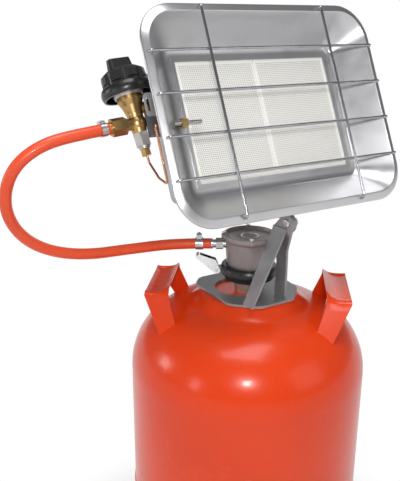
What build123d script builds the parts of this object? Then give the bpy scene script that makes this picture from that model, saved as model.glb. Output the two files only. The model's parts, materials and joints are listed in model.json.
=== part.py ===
from build123d import *
import os
from math import asin, cos, pi, radians, sin, sqrt, tan

# Gas patio heater: a tilting ceramic heater head on a sheet bracket, carried by a gas cylinder.
# Millimetres. +Z is up, the head faces -Y, and the origin is on the cylinder's axis at the floor.

os.makedirs("parts", exist_ok=True)

# Gas cylinder
shell_radius = 150.0
shell_wall = 2.6
crown_radius = 290.0
knuckle_radius = 85.0
straight_height = 245.0
seam_drop = 52.0
foot_clearance = 20.0
weld_height = 9.0
weld_proud = 1.4
pad_radius = 60.0
pad_slope = 9.0
pad_edge_fillet = 4.0
pad_foot_fillet = 12.0
pad_rise = 5.0
boss_radius = 22.0
boss_height = 18.0
foot_ring_radius = 118.0
foot_ring_wall = 2.5
foot_rim_width = 11.0
foot_rim_thickness = 3.0
vent_radius = 6.0
vent_count = 4

# Lifting handles
handle_azimuth = -37.6
handle_reach = 110.0
handle_width = 30.0
handle_sheet = 3.0
handle_length = 102.0
handle_dish = 5.0
handle_slant = 8.0
handle_lift = 3.5
handle_foot_reach = 91.0
handle_foot_width = 23.0
handle_foot_spread = 134.0
handle_foot_drop = 45.0
handle_knee_drop = 6.0

# Cylinder valve
valve_stud_radius = 17.5
valve_stud_height = 26.0
valve_groove_depth = 1.6
valve_neck_radius = 12.0
valve_pin_radius = 3.0
gasket_outer = 9.5
gasket_inner = 4.5
gasket_thickness = 2.5
running_fit = 0.05
pin_travel = 3.0

# Sheet bracket
seat_gap = 0.2
plate_thickness = 3.0
plate_width = 106.0
plate_front = 61.0
plate_back = 58.0
plate_front_cut = 28.0
plate_back_cut = 15.0
plate_corner = 16.0
plate_hole_radius = 31.0
plate_hole_across = -10.0
plate_hole_back = 6.0
upright_sheet = 3.0
upright_front = 56.0
upright_foot = 20.0
upright_neck_height = 62.0
brace_sheet = 2.5
brace_top = 85.0
brace_top_width = 24.0
brace_top_front = 55.0
brace_tab = 3.0
brace_foot_reach = 53.0
brace_foot_width = 18.0
brace_foot_front = 62.0
brace_bend_height = 14.0
brace_bend_reach = 43.0
ear_radius = 11.5

# Tilt pivot and the head's place on it
head_across = 17.0
pivot_forward = 53.5
pivot_height = 94.9
pivot_drop = 129.24
pivot_behind = 38.52
head_tilt = 24.62
bolt_radius = 3.0
bolt_head_radius = 5.5
bolt_head_height = 2.2
bolt_end = 2.0
nut_flats = 10.0
nut_height = 5.0
washer_radius = 6.0
washer_thickness = 1.6
lug_gap = 0.3
lug_sheet = 3.0

# Regulator
socket_bore_gap = 0.3
socket_radius = 24.0
socket_lift = 10.0
cup_lift = 30.3
cup_foot_radius = 28.0
cup_rim_radius = 30.6
cup_height = 37.7
cup_wall = 2.6
cup_floor = 3.0
cover_radius = 33.0
cover_thickness = 3.0
cover_bump_radius = 9.0
cover_bump_height = 2.5
ear_screw_radius = 3.6
ear_reach = 33.5
diaphragm_height = 50.0
diaphragm_thickness = 1.2
ring_height = 2.0
spring_radius = 11.0
spring_wire = 2.0
regulator_pin_radius = 2.5
outlet_azimuth = 148.8
outlet_lift = 57.0
outlet_reach = 48.0
outlet_radius = 5.2
outlet_flats = 13.0
outlet_nut_start = 33.0
outlet_nut_length = 9.0

# Locking ring
ring_radius = 36.0
ring_bottom = 14.0
ring_top = 31.0
ring_shoulder = 24.0
ring_gap = 0.3
ring_slot = 9.4

# Regulator lever
lever_pivot_reach = 40.5
lever_pivot_lift = 23.5
lever_length = 32.0
lever_rise = 36.5
lever_width = 13.0
lever_sheet = 1.5
lever_cheek = 13.0
lever_hub_radius = 4.2
lever_pin_radius = 1.8
boss_width = 8.0

# Gas hose
hose_radius = 6.5
hose_end_run = 47.5
hose_seat = 0.02
clamp_width = 9.5
clamp_thickness = 1.1
clamp_offset = 10.0
clamp_inset = 3.3
clamp_fit = 0.1
screw_stand = 1.9
screw_span = 9.0
screw_housing = 6.6
screw_head = 3.2
ear_clamp_width = 7.0
clamp_ear_rise = 2.2
clamp_ear_span = 6.0
clamp_ear_round = 1.0

# Reflector pan, in the head's own plane
mouth_width = 300.0
mouth_height = 227.0
mouth_corner = 34.0
flange_side = 9.5
flange_rise = 10.0
flange_width = mouth_width + 2 * flange_side
flange_height = mouth_height + 2 * flange_rise
flange_corner = 43.0
flange_drop = 4.0
pan_depth = 37.0
floor_width = 238.0
floor_height = 168.0
floor_corner = 12.0
pan_sheet = 1.2

# Ceramic burner
tile_width = 108.7
tile_height = 144.0
tile_thickness = 13.0
tile_joint = 0.6
tile_set_back = 0.4
opening_gap = 0.5
opening_corner = 0.8
frame_border = 4.0
frame_overlap = 2.0
frame_sheet = 1.2
gasket_width = 4.5
box_sheet = 1.2
box_depth = 42.0
box_flange = 5.0
rest_sheet = 1.6
rest_width = 12.0
shield_gap = 11.0
shield_sheet = 1.0
shield_lip = 8.0
shield_margin = 4.0
spacer_radius = 4.0
spacer_inset = 26.0
screw_head_radius = 4.0
screw_head_height = 2.6

# Guard wires
wire_radius = 1.6
bar_spacing = 46.15
bar_count = 4
bar_inset = 4.6
upright_inset = 4.4
bar_reach = mouth_width / 2 + bar_inset
upright_wire_reach = mouth_height / 2 + upright_inset
upright_wire_spread = 84.0
wire_clearance = 1.0
wire_hook = 7.0
wire_bend = 3.0
wire_contact = 0.1

# Thermoelectric valve, in the head's plane and along its own leaned axis
valve_across = -155.8
valve_up = 10.7
valve_behind = 60.0
valve_lean = 5.5
valve_foot = 11.0
valve_body_top = 30.5
valve_body_radius = 14.6
valve_waist_radius = 8.9
valve_ball_radius = 10.4
inlet_radius = 6.6
inlet_start = 15.0
inlet_nut_length = 20.0
inlet_nut_flats = 17.6
bonnet_radius = 17.6
bonnet_height = 11.0
bonnet_taper = 1.6
bonnet_screw_radius = 1.8
bonnet_screw_height = 0.6
spindle_radius = 4.0
spindle_foot = -2.0
push_travel = 4.0
outlet_up = 17.5
outlet_boss_radius = 6.5
spigot_radius = 4.9
spigot_length = 7.0
locknut_flats = 14.0
locknut_height = 4.5
magnet_flats = 15.8
magnet_length = 15.0
magnet_foot_radius = 6.4
magnet_foot_length = 3.0
magnet_nut_flats = 10.0
magnet_nut_length = 8.0

# Control knob
skirt_radius = 29.5
skirt_bottom = 31.0
skirt_top = 43.0
skirt_wall = 3.5
grip_radius = 25.5
grip_bottom = 46.0
grip_top = 56.0
grip_scallop = 7.0
scallop_count = 8
crown_knob_radius = 18.0
crown_knob_top = 62.0
blade_width = 27.0
blade_thickness = 11.0
knob_top = 74.0
knob_ceiling = 46.4

# Valve bracket, injector and mixing tube
bracket_sheet = 2.0
bracket_face = -136.0
bracket_low = -3.0
bracket_high = 38.0
bracket_front = 46.0
bracket_back = 74.0
injector_flats = 12.0
injector_length = 5.0
jet_radius = 2.0
jet_length = 4.0
tube_radius = 6.5
tube_wall = 0.8
bell_radius = 12.0
bell_length = 16.0
tube_inner_end = -30.0

# Side lug and thermocouple
side_lug_reach = 165.0
side_lug_low = 5.0
side_lug_high = 30.0
side_lug_behind = 14.0
side_lug_sheet = 2.0
side_lug_slot = 4.0
probe_behind = 31.0
probe_up = -0.5
probe_sleeve_radius = 3.0
probe_nut_start = 118.0
probe_nut_length = 8.6
probe_nut_flats = 9.0
probe_tip_reach = 91.5
probe_tip_radius = 2.2
lead_radius = 1.3
lead_bend = 6.0
lead_run = 8.0

# Worked-out heights
dome_height = crown_radius - sqrt((crown_radius - knuckle_radius) ** 2 - (shell_radius - knuckle_radius) ** 2)
lower_spring = foot_clearance + dome_height
upper_spring = lower_spring + straight_height
seam_height = (lower_spring + upper_spring) / 2 - seam_drop
dome_top = upper_spring + dome_height
pad_top = dome_top + pad_rise
plate_top = pad_top + seat_gap + plate_thickness

# The head's own directions: across is +X, rise runs up its face, and front looks out of it
tilt = radians(head_tilt)
across_axis = Vector(1, 0, 0)
rise_axis = Vector(0, sin(tilt), cos(tilt))
front_axis = Vector(0, -cos(tilt), sin(tilt))
pivot_point = Vector(head_across, -pivot_forward, plate_top + pivot_height)
head_centre = pivot_point + rise_axis * pivot_drop + front_axis * pivot_behind
head_face = Plane(origin=head_centre, x_dir=across_axis, z_dir=front_axis)


def head_point(across, rise, behind):
    """A point given across the head, up its face and behind its flange."""
    return head_centre + across_axis * across + rise_axis * rise - front_axis * behind


def across_plane(across, rise, behind):
    """A plane that looks along the head's width, with its local x up the face and y out of its front."""
    return Plane(origin=head_point(across, rise, behind), x_dir=rise_axis, z_dir=across_axis)


# The valve's own directions: its axis leans outwards from the head's rise
lean = radians(valve_lean)
valve_axis = rise_axis * cos(lean) - across_axis * sin(lean)
valve_side = across_axis * cos(lean) + rise_axis * sin(lean)
valve_origin = head_point(valve_across, valve_up, valve_behind)
valve_base = Plane(origin=valve_origin, x_dir=valve_side, z_dir=valve_axis)
valve_section = Plane(origin=valve_origin, x_dir=valve_side, z_dir=valve_side.cross(valve_axis))
valve_line = Axis(valve_origin, valve_axis)
inlet_plane = Plane(origin=valve_origin, x_dir=valve_axis, z_dir=valve_side * -1)

# The regulator's outlet and lever lie in one upright plane through the cylinder's axis
outlet_angle = radians(outlet_azimuth)
outlet_axis = Vector(cos(outlet_angle), sin(outlet_angle), 0)
outlet_plane = Plane(origin=(0, 0, plate_top + outlet_lift), x_dir=(0, 0, 1), z_dir=outlet_axis)
lever_side = Plane(origin=(0, 0, plate_top), x_dir=outlet_axis, z_dir=outlet_axis.cross(Vector(0, 0, 1)))


def level(height):
    """A level plane this far above the mounting plate's top."""
    return Plane.XY.offset(plate_top + height)


def half_section(height, down=False):
    """An upright plane for turned profiles: local x is the radius, local y is measured from height."""
    return Plane(origin=(0, 0, height), x_dir=(1, 0, 0), z_dir=(0, 1 if down else -1, 0))


def dome_points(inset, start_radius):
    """Points of a dished end, from start_radius out to the straight wall, measured from its spring."""
    crown = crown_radius - inset
    knuckle = knuckle_radius - inset
    meet = asin((shell_radius - knuckle_radius) / (crown_radius - knuckle_radius))
    start = asin(start_radius / crown)

    def on_crown(angle):
        return (crown * sin(angle), dome_height - crown_radius + crown * cos(angle))

    def on_knuckle(angle):
        return (shell_radius - knuckle_radius + knuckle * sin(angle), knuckle * cos(angle))

    return [
        on_crown(start),
        on_crown((start + meet) / 2),
        on_crown(meet),
        on_knuckle((meet + pi / 2) / 2),
        on_knuckle(pi / 2),
    ]


def dome_lines(points):
    """The two arcs of a dished end's section."""
    ThreePointArc(points[0], points[1], points[2])
    ThreePointArc(points[2], points[3], points[4])


def dome_fill(height, down=False):
    """Everything that a dished end fills, so that a piece welded to it can be ended on its surface."""
    points = dome_points(0, 0)
    with BuildPart() as fill:
        with BuildSketch(half_section(height, down)):
            with BuildLine():
                dome_lines(points)
                Polyline(points[4], (shell_radius, -straight_height / 2), (0, -straight_height / 2), points[0])
            make_face()
        revolve(axis=Axis.Z)
    return fill.part


upper_dome = dome_fill(upper_spring)
lower_dome = dome_fill(lower_spring, down=True)

# Gas cylinder
upper_wall = upper_spring - seam_height
lower_wall = seam_height - lower_spring
with BuildPart() as upper_shell:
    outer = dome_points(0, pad_radius + pad_slope)
    inner = dome_points(shell_wall, boss_radius)
    pad_level = dome_height + pad_rise
    with BuildSketch(half_section(upper_spring)):
        with BuildLine():
            Line((pad_radius, pad_level), outer[0])
            dome_lines(outer)
            Polyline(outer[4], (shell_radius, -upper_wall), (shell_radius - shell_wall, -upper_wall), inner[4])
            dome_lines(inner)
            Polyline(inner[0], (boss_radius, pad_level), (pad_radius, pad_level))
        make_face()
    revolve(axis=Axis.Z)
    pad_foot = (pad_radius + pad_slope, 0, upper_spring + outer[0][1])
    circles = upper_shell.edges().filter_by(GeomType.CIRCLE)
    fillet(circles.sort_by_distance(pad_foot)[0], pad_foot_fillet)
    circles = upper_shell.edges().filter_by(GeomType.CIRCLE)
    fillet(circles.sort_by_distance((pad_radius, 0, pad_top))[0], pad_edge_fillet)
upper_shell.part.label = "upper_shell"

with BuildPart() as lower_shell:
    outer = dome_points(0, 0)
    inner = dome_points(shell_wall, 0)
    with BuildSketch(half_section(lower_spring, down=True)):
        with BuildLine():
            dome_lines(outer)
            Polyline(outer[4], (shell_radius, -lower_wall), (shell_radius - shell_wall, -lower_wall), inner[4])
            dome_lines(inner)
            Line(inner[0], outer[0])
        make_face()
    revolve(axis=Axis.Z)
lower_shell.part.label = "lower_shell"

with BuildPart() as seam_weld:
    with BuildSketch(half_section(seam_height)):
        with BuildLine():
            Line((shell_radius, -weld_height / 2), (shell_radius, weld_height / 2))
            ThreePointArc(
                (shell_radius, weld_height / 2),
                (shell_radius + weld_proud, 0),
                (shell_radius, -weld_height / 2),
            )
        make_face()
    revolve(axis=Axis.Z)
seam_weld.part.label = "seam_weld"

with BuildPart() as foot_ring:
    ring_inside = foot_ring_radius - foot_ring_wall
    with BuildSketch(half_section(0)):
        with BuildLine():
            Polyline(
                (foot_ring_radius - foot_rim_width, 0),
                (foot_ring_radius, 0),
                (foot_ring_radius, lower_spring),
                (ring_inside, lower_spring),
                (ring_inside, foot_rim_thickness),
                (foot_ring_radius - foot_rim_width, foot_rim_thickness),
                close=True,
            )
        make_face()
    revolve(axis=Axis.Z)
    add(lower_dome, mode=Mode.SUBTRACT)
    for index in range(vent_count):
        outwards = Vector(1, 0, 0).rotate(Axis.Z, (index + 0.5) * 360 / vent_count)
        with BuildSketch(Plane(origin=(0, 0, foot_clearance + vent_radius), x_dir=(0, 0, 1), z_dir=outwards)):
            Circle(vent_radius)
        extrude(amount=foot_ring_radius + 1, mode=Mode.SUBTRACT)
foot_ring.part.label = "foot_ring"

with BuildPart() as neck_boss:
    with BuildSketch(Plane.XY.offset(pad_top - boss_height)):
        Circle(boss_radius)
        Circle(valve_neck_radius, mode=Mode.SUBTRACT)
    extrude(amount=boss_height)
    top_inner = neck_boss.edges().filter_by(GeomType.CIRCLE).group_by(Axis.Z)[0]
    chamfer(top_inner, 1)
neck_boss.part.label = "neck_boss"

stud_top = plate_top + valve_stud_height
stud_height = stud_top - pad_top
groove = stud_height * 0.55
with BuildPart() as cylinder_valve:
    with BuildSketch(half_section(pad_top)):
        with BuildLine():
            Polyline(
                (valve_pin_radius + running_fit, -boss_height),
                (valve_neck_radius, -boss_height),
                (valve_neck_radius, 0),
                (valve_stud_radius, 0),
                (valve_stud_radius, groove - 2),
                (valve_stud_radius - valve_groove_depth, groove),
                (valve_stud_radius - valve_groove_depth, groove + 2),
                (valve_stud_radius, groove + 4),
                (valve_stud_radius, stud_height - 1.5),
                (valve_stud_radius - 1.5, stud_height),
                (gasket_outer, stud_height),
                (gasket_outer, stud_height - gasket_thickness),
                (valve_pin_radius + running_fit, stud_height - gasket_thickness),
                close=True,
            )
        make_face()
    revolve(axis=Axis.Z)
cylinder_valve.part.label = "cylinder_valve"

with BuildPart() as valve_gasket:
    with BuildSketch(Plane.XY.offset(stud_top - gasket_thickness)):
        Circle(gasket_outer)
        Circle(gasket_inner, mode=Mode.SUBTRACT)
    extrude(amount=gasket_thickness)
valve_gasket.part.label = "valve_gasket"

pin_meet = stud_top - pin_travel
with BuildPart() as valve_pin:
    with BuildSketch(Plane.XY.offset(pad_top - boss_height)):
        Circle(valve_pin_radius)
    extrude(amount=pin_meet - pad_top + boss_height)
    chamfer(valve_pin.edges().filter_by(GeomType.CIRCLE), 0.6)
valve_pin.part.label = "valve_pin"

# Lifting handles: a dished grip on two straps that spread down to the dome
handles = []
for side, name in ((0, "handle_right"), (180, "handle_left")):
    outwards = Vector(1, 0, 0).rotate(Axis.Z, handle_azimuth + side)
    along = Vector(0, 1, 0).rotate(Axis.Z, handle_azimuth + side)
    grip_plane = Plane(origin=(0, 0, plate_top + handle_lift), x_dir=outwards, z_dir=along * -1)
    strap_planes = [
        Plane(origin=(0, 0, plate_top - handle_knee_drop), x_dir=outwards, z_dir=(0, 0, 1)),
        Plane(origin=(0, 0, plate_top - handle_foot_drop), x_dir=outwards, z_dir=(0, 0, 1)),
    ]
    grip_in = (handle_reach - handle_width / 2, handle_slant)
    grip_out = (handle_reach + handle_width / 2, 0)
    grip_mid = (handle_reach, handle_slant / 2 - handle_dish)
    with BuildPart() as handle:
        with BuildSketch(grip_plane):
            with BuildLine():
                ThreePointArc(grip_in, grip_mid, grip_out)
                offset(amount=handle_sheet / 2, side=Side.BOTH)
            make_face()
        extrude(amount=handle_length / 2, both=True)
        for end in (-1, 1):
            foot_shift = end * (handle_foot_spread - handle_sheet) / 2
            top_shift = end * (handle_length - handle_sheet) / 2
            with BuildSketch(strap_planes[0]):
                with Locations((handle_reach, top_shift)):
                    Rectangle(handle_width, handle_sheet)
            extrude(amount=handle_knee_drop + handle_lift + handle_slant * 2)
            with BuildSketch(strap_planes[0]):
                with Locations((handle_reach, top_shift)):
                    Rectangle(handle_width, handle_sheet)
            with BuildSketch(strap_planes[1]):
                with Locations((handle_foot_reach, foot_shift)):
                    Rectangle(handle_foot_width, handle_sheet)
            loft()
        with BuildSketch(grip_plane):
            with BuildLine():
                above = ThreePointArc(
                    (grip_in[0] - 1.2, grip_in[1] + handle_sheet / 2 + 1.0),
                    (grip_mid[0], grip_mid[1] + handle_sheet / 2),
                    (grip_out[0] + 1.2, grip_out[1] + handle_sheet / 2 + 0.6),
                )
                Polyline(above @ 1, (grip_out[0] + 1.2, 60), (grip_in[0] - 1.2, 60), above @ 0)
            make_face()
        extrude(amount=handle_length, both=True, mode=Mode.SUBTRACT)
        add(upper_dome, mode=Mode.SUBTRACT)
    handle.part.label = name
    handles.append(handle)

# Sheet bracket
plate_half = plate_width / 2
with BuildPart() as mounting_plate:
    with BuildSketch(level(-plate_thickness)) as plate_outline:
        with BuildLine():
            Polyline(
                (-plate_half + plate_back_cut, plate_back),
                (plate_half - plate_back_cut, plate_back),
                (plate_half, plate_back - plate_back_cut),
                (plate_half, plate_front_cut - plate_front),
                (plate_half - plate_front_cut, -plate_front),
                (-plate_half + plate_front_cut, -plate_front),
                (-plate_half, plate_front_cut - plate_front),
                (-plate_half, plate_back - plate_back_cut),
                close=True,
            )
        make_face()
        fillet(plate_outline.vertices(), plate_corner)
        with Locations((plate_hole_across, plate_hole_back)):
            Circle(plate_hole_radius, mode=Mode.SUBTRACT)
    extrude(amount=plate_thickness)
mounting_plate.part.label = "mounting_plate"

upright_face = head_across - lug_gap / 2
upright_plane = Plane(origin=(upright_face, 0, plate_top), x_dir=(0, 1, 0), z_dir=(1, 0, 0))
upright_back = upright_foot - upright_front
with BuildPart() as bracket_upright:
    with BuildSketch(upright_plane) as upright_outline:
        with BuildLine():
            Polyline(
                (-upright_front, 0),
                (upright_back, 0),
                (upright_back - 1.5, upright_neck_height * 0.7),
                (-brace_top_front + brace_top_width, brace_top + brace_tab),
                (-pivot_forward + ear_radius * 0.8, pivot_height + ear_radius * 0.6),
                (-pivot_forward - ear_radius * 0.97, pivot_height - ear_radius * 0.25),
                (-upright_front, upright_neck_height),
                close=True,
            )
        make_face()
        with Locations((-pivot_forward, pivot_height)):
            Circle(ear_radius)
        with Locations((-pivot_forward, pivot_height)):
            Circle(bolt_radius, mode=Mode.SUBTRACT)
    extrude(amount=-upright_sheet)
bracket_upright.part.label = "bracket_upright"

brace_side = Plane(origin=(upright_face - upright_sheet, 0, plate_top), x_dir=(1, 0, 0), z_dir=(0, -1, 0))
brace_cut = Plane(origin=(upright_face, 0, plate_top), x_dir=(0, 1, 0), z_dir=(1, 0, 0))
with BuildPart() as bracket_brace:
    with BuildSketch(brace_side):
        with BuildLine() as brace_line:
            Polyline(
                (-brace_sheet / 2, brace_top + brace_tab),
                (-brace_sheet / 2, brace_top),
                (-brace_bend_reach, brace_bend_height),
                (-brace_foot_reach, -plate_thickness),
            )
            offset(amount=brace_sheet / 2, side=Side.BOTH)
        make_face()
    extrude(amount=brace_foot_front)
    with BuildSketch(brace_cut):
        with BuildLine():
            Polyline(
                (-brace_foot_front, 0),
                (-brace_foot_front + brace_foot_width, 0),
                (-brace_top_front + brace_top_width, brace_top),
                (-brace_top_front + brace_top_width, brace_top + brace_tab),
                (-brace_top_front, brace_top + brace_tab),
                (-brace_top_front, brace_top),
                close=True,
            )
        make_face()
    extrude(amount=plate_width, both=True, mode=Mode.INTERSECT)
bracket_brace.part.label = "bracket_brace"

# Tilt pivot: bolt, washers and nut along X
lug_face = upright_face + lug_gap
bolt_plane = Plane(origin=pivot_point, x_dir=(0, 1, 0), z_dir=(1, 0, 0))


def pivot_plane(at):
    """A plane across the tilt pivot at this X."""
    return bolt_plane.offset(at - head_across)


head_seat = upright_face - upright_sheet
washer_seat = lug_face + lug_sheet
nut_seat = washer_seat + washer_thickness
with BuildPart() as pivot_bolt:
    with BuildSketch(pivot_plane(head_seat)):
        Circle(bolt_head_radius)
    extrude(amount=-bolt_head_height)
    fillet(pivot_bolt.faces().sort_by(Axis.X)[0].edges(), bolt_head_height * 0.8)
    with BuildSketch(pivot_plane(head_seat)):
        Circle(bolt_radius)
    extrude(amount=nut_seat + nut_height + bolt_end - head_seat)
pivot_bolt.part.label = "pivot_bolt"

with BuildPart() as pivot_washer:
    with BuildSketch(pivot_plane(washer_seat)):
        Circle(washer_radius)
        Circle(bolt_radius + running_fit, mode=Mode.SUBTRACT)
    extrude(amount=washer_thickness)
pivot_washer.part.label = "pivot_washer"

with BuildPart() as pivot_nut:
    with BuildSketch(pivot_plane(nut_seat)):
        RegularPolygon(nut_flats / 2, 6, major_radius=False)
        Circle(bolt_radius, mode=Mode.SUBTRACT)
    extrude(amount=nut_height)
pivot_nut.part.label = "pivot_nut"

# Regulator
with BuildPart() as regulator_socket:
    with BuildSketch(level(socket_lift)):
        Circle(socket_radius)
    extrude(amount=cup_lift - socket_lift)
    with BuildSketch(level(socket_lift)):
        Circle(valve_stud_radius + socket_bore_gap)
    extrude(amount=valve_stud_height + seat_gap - socket_lift, mode=Mode.SUBTRACT)
    with BuildSketch(lever_side):
        with BuildLine():
            low = lever_pivot_lift - lever_hub_radius
            high = lever_pivot_lift + lever_hub_radius
            Polyline((lever_pivot_reach, low), (socket_radius - 2, low), (socket_radius - 2, high))
            Line((socket_radius - 2, high), (lever_pivot_reach, high))
            ThreePointArc(
                (lever_pivot_reach, high),
                (lever_pivot_reach + lever_hub_radius, lever_pivot_lift),
                (lever_pivot_reach, low),
            )
        make_face()
    extrude(amount=boss_width / 2, both=True)
    with BuildSketch(lever_side):
        with Locations((lever_pivot_reach, lever_pivot_lift)):
            Circle(lever_pin_radius)
    extrude(amount=boss_width, both=True, mode=Mode.SUBTRACT)
    with BuildSketch(level(0)):
        Circle(regulator_pin_radius + running_fit)
    extrude(amount=cup_lift + 1, mode=Mode.SUBTRACT)
regulator_socket.part.label = "regulator_socket"


def cup_radius(height):
    """The regulator cup's outer radius at this height above the plate."""
    return cup_foot_radius + (cup_rim_radius - cup_foot_radius) * (height - cup_lift) / cup_height


cup_top = cup_lift + cup_height
cup_bore = cup_radius(diaphragm_height) - cup_wall
ear_angles = [outlet_azimuth + 90 * index for index in range(4)]
with BuildPart() as regulator_cup:
    with BuildSketch(half_section(plate_top)):
        with BuildLine():
            Polyline(
                (regulator_pin_radius + running_fit, cup_lift),
                (cup_foot_radius, cup_lift),
                (cup_rim_radius, cup_top),
                (cup_bore, cup_top),
                (cup_bore, diaphragm_height),
                (cup_bore - cup_wall, diaphragm_height),
                (cup_foot_radius - 2 * cup_wall, cup_lift + cup_floor),
                (regulator_pin_radius + running_fit, cup_lift + cup_floor),
                close=True,
            )
        make_face()
    revolve(axis=Axis.Z)
    with BuildSketch(level(cup_top)):
        with PolarLocations(ear_reach - 2, 4, outlet_azimuth):
            Circle(ear_screw_radius)
    extrude(amount=-cover_thickness)
    with BuildSketch(outlet_plane.offset(cup_bore - 1)):
        Circle(outlet_radius)
    extrude(amount=outlet_reach, mode=Mode.SUBTRACT)
regulator_cup.part.label = "regulator_cup"

with BuildPart() as regulator_cover:
    with BuildSketch(level(cup_top)):
        Circle(cover_radius - 1)
        with PolarLocations(ear_reach - 2, 4, outlet_azimuth):
            Circle(ear_screw_radius)
    extrude(amount=cover_thickness)
    with BuildSketch(level(cup_top + cover_thickness)):
        Circle(cover_radius - 4)
    extrude(amount=-cover_thickness / 2, mode=Mode.SUBTRACT)
    with BuildSketch(half_section(plate_top + cup_top + cover_thickness / 2)):
        with BuildLine():
            ThreePointArc(
                (0, cover_bump_height),
                (cover_bump_radius * 0.55, cover_bump_height * 0.8),
                (cover_bump_radius, 0),
            )
            Polyline((cover_bump_radius, 0), (0, 0), (0, cover_bump_height))
        make_face()
    revolve(axis=Axis.Z)
regulator_cover.part.label = "regulator_cover"

with BuildPart() as cover_screws:
    for angle in ear_angles:
        spot = Vector(ear_reach - 2, 0, 0).rotate(Axis.Z, angle)
        with BuildSketch(Plane(origin=spot + Vector(0, 0, plate_top + cup_top + cover_thickness))):
            Circle(ear_screw_radius * 0.75)
        extrude(amount=1.6)
cover_screws.part.label = "cover_screws"

with BuildPart() as diaphragm:
    with BuildSketch(level(diaphragm_height)):
        Circle(cup_bore - 0.1)
    extrude(amount=diaphragm_thickness)
diaphragm.part.label = "diaphragm"

ring_level = diaphragm_height + diaphragm_thickness
with BuildPart() as diaphragm_ring:
    with BuildSketch(level(ring_level)):
        Circle(cup_bore - 0.1)
        Circle(cup_bore - cup_wall, mode=Mode.SUBTRACT)
    extrude(amount=ring_height)
diaphragm_ring.part.label = "diaphragm_ring"

with BuildPart() as regulator_spring:
    with BuildSketch(level(ring_level)):
        Circle(spring_radius)
        Circle(spring_radius - spring_wire, mode=Mode.SUBTRACT)
    extrude(amount=cup_top - ring_level)
regulator_spring.part.label = "regulator_spring"

with BuildPart() as regulator_pin:
    with BuildSketch(Plane.XY.offset(pin_meet)):
        Circle(regulator_pin_radius)
    extrude(amount=plate_top + cup_lift + cup_floor + 6 - pin_meet)
    chamfer(regulator_pin.edges().filter_by(GeomType.CIRCLE), 0.4)
regulator_pin.part.label = "regulator_pin"

with BuildPart() as outlet_stub:
    with BuildSketch(outlet_plane.offset(cup_bore)):
        Circle(outlet_radius)
    extrude(amount=outlet_reach - cup_bore)
    with BuildSketch(outlet_plane.offset(outlet_nut_start)):
        RegularPolygon(outlet_flats / 2, 6, major_radius=False)
    extrude(amount=outlet_nut_length)
    with BuildSketch(outlet_plane.offset(outlet_reach - 2)):
        Circle(hose_radius)
    extrude(amount=2)
    with BuildSketch(outlet_plane.offset(cup_bore)):
        Circle(outlet_radius - 2)
    extrude(amount=outlet_reach, mode=Mode.SUBTRACT)
outlet_stub.part.label = "outlet_stub"

# Locking ring: slides up the cup, slotted where the lever's boss comes through
with BuildPart() as locking_ring:
    with BuildSketch(half_section(plate_top)):
        with BuildLine():
            Polyline(
                (socket_radius + ring_gap, ring_bottom),
                (ring_radius - 5, ring_bottom),
                (ring_radius - 4, ring_bottom + 4),
                (ring_radius - 1, ring_bottom + 6),
            )
            ThreePointArc(
                (ring_radius - 1, ring_bottom + 6),
                (ring_radius, ring_bottom + 10),
                (ring_radius - 1.2, ring_top - 2),
            )
            ThreePointArc(
                (ring_radius - 1.2, ring_top - 2),
                (ring_radius - 2, ring_top - 0.6),
                (ring_radius - 3.4, ring_top),
            )
            Polyline(
                (ring_radius - 3.4, ring_top),
                (cup_radius(ring_top + 6) + ring_gap, ring_top),
                (cup_radius(ring_top + 6) + ring_gap, ring_shoulder),
                (socket_radius + ring_gap, ring_shoulder),
                (socket_radius + ring_gap, ring_bottom),
            )
        make_face()
    revolve(axis=Axis.Z)
    with BuildSketch(lever_side):
        with BuildLine():
            Polyline(
                (socket_radius - 1, ring_bottom - 1),
                (ring_radius + 4, ring_bottom - 1),
                (ring_radius + 4, lever_pivot_lift + lever_hub_radius + ring_gap),
                (socket_radius - 1, lever_pivot_lift + lever_hub_radius + ring_gap),
                close=True,
            )
        make_face()
    extrude(amount=lever_width / 2 + 1, both=True, mode=Mode.SUBTRACT)
locking_ring.part.label = "locking_ring"

# Regulator lever: a bent channel with two cheeks on one pin
lever_tilt = radians(lever_rise)
tip = (lever_pivot_reach + lever_length * cos(lever_tilt), lever_pivot_lift + lever_length * sin(lever_tilt))
elbow = (lever_pivot_reach + 1.5, lever_pivot_lift + lever_cheek)


hub_left = (lever_pivot_reach - lever_hub_radius, lever_pivot_lift)
hub_low = (
    lever_pivot_reach + lever_hub_radius * sin(lever_tilt),
    lever_pivot_lift - lever_hub_radius * cos(lever_tilt),
)
hub_between = (lever_pivot_reach - lever_hub_radius * 0.35, lever_pivot_lift - lever_hub_radius * 0.936)
with BuildPart() as regulator_lever:
    with BuildSketch(lever_side):
        with BuildLine():
            ThreePointArc(hub_left, hub_between, hub_low)
            Polyline(hub_low, (tip[0] + 1, tip[1] - 2), tip, (tip[0] - 3, tip[1] + 1.5), elbow, hub_left)
        make_face()
    extrude(amount=lever_width / 2, both=True)
    with BuildSketch(lever_side):
        with BuildLine():
            floor_shift = lever_sheet
            Polyline(
                (lever_pivot_reach - lever_hub_radius - 1, lever_pivot_lift - lever_hub_radius - 1),
                (lever_pivot_reach + lever_hub_radius + 1.5, lever_pivot_lift - lever_hub_radius - 1),
                (lever_pivot_reach + lever_hub_radius + 1.5, lever_pivot_lift + 0.5),
                (tip[0] - 4, tip[1] - 3.5 + floor_shift),
                (tip[0] - 4, tip[1] + 10),
                (lever_pivot_reach - lever_hub_radius - 1, tip[1] + 10),
                close=True,
            )
        make_face()
    extrude(amount=lever_width / 2 - lever_sheet, both=True, mode=Mode.SUBTRACT)
    with BuildSketch(lever_side):
        with Locations((lever_pivot_reach, lever_pivot_lift)):
            Circle(lever_pin_radius + running_fit)
    extrude(amount=lever_width, both=True, mode=Mode.SUBTRACT)
regulator_lever.part.label = "regulator_lever"

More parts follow.
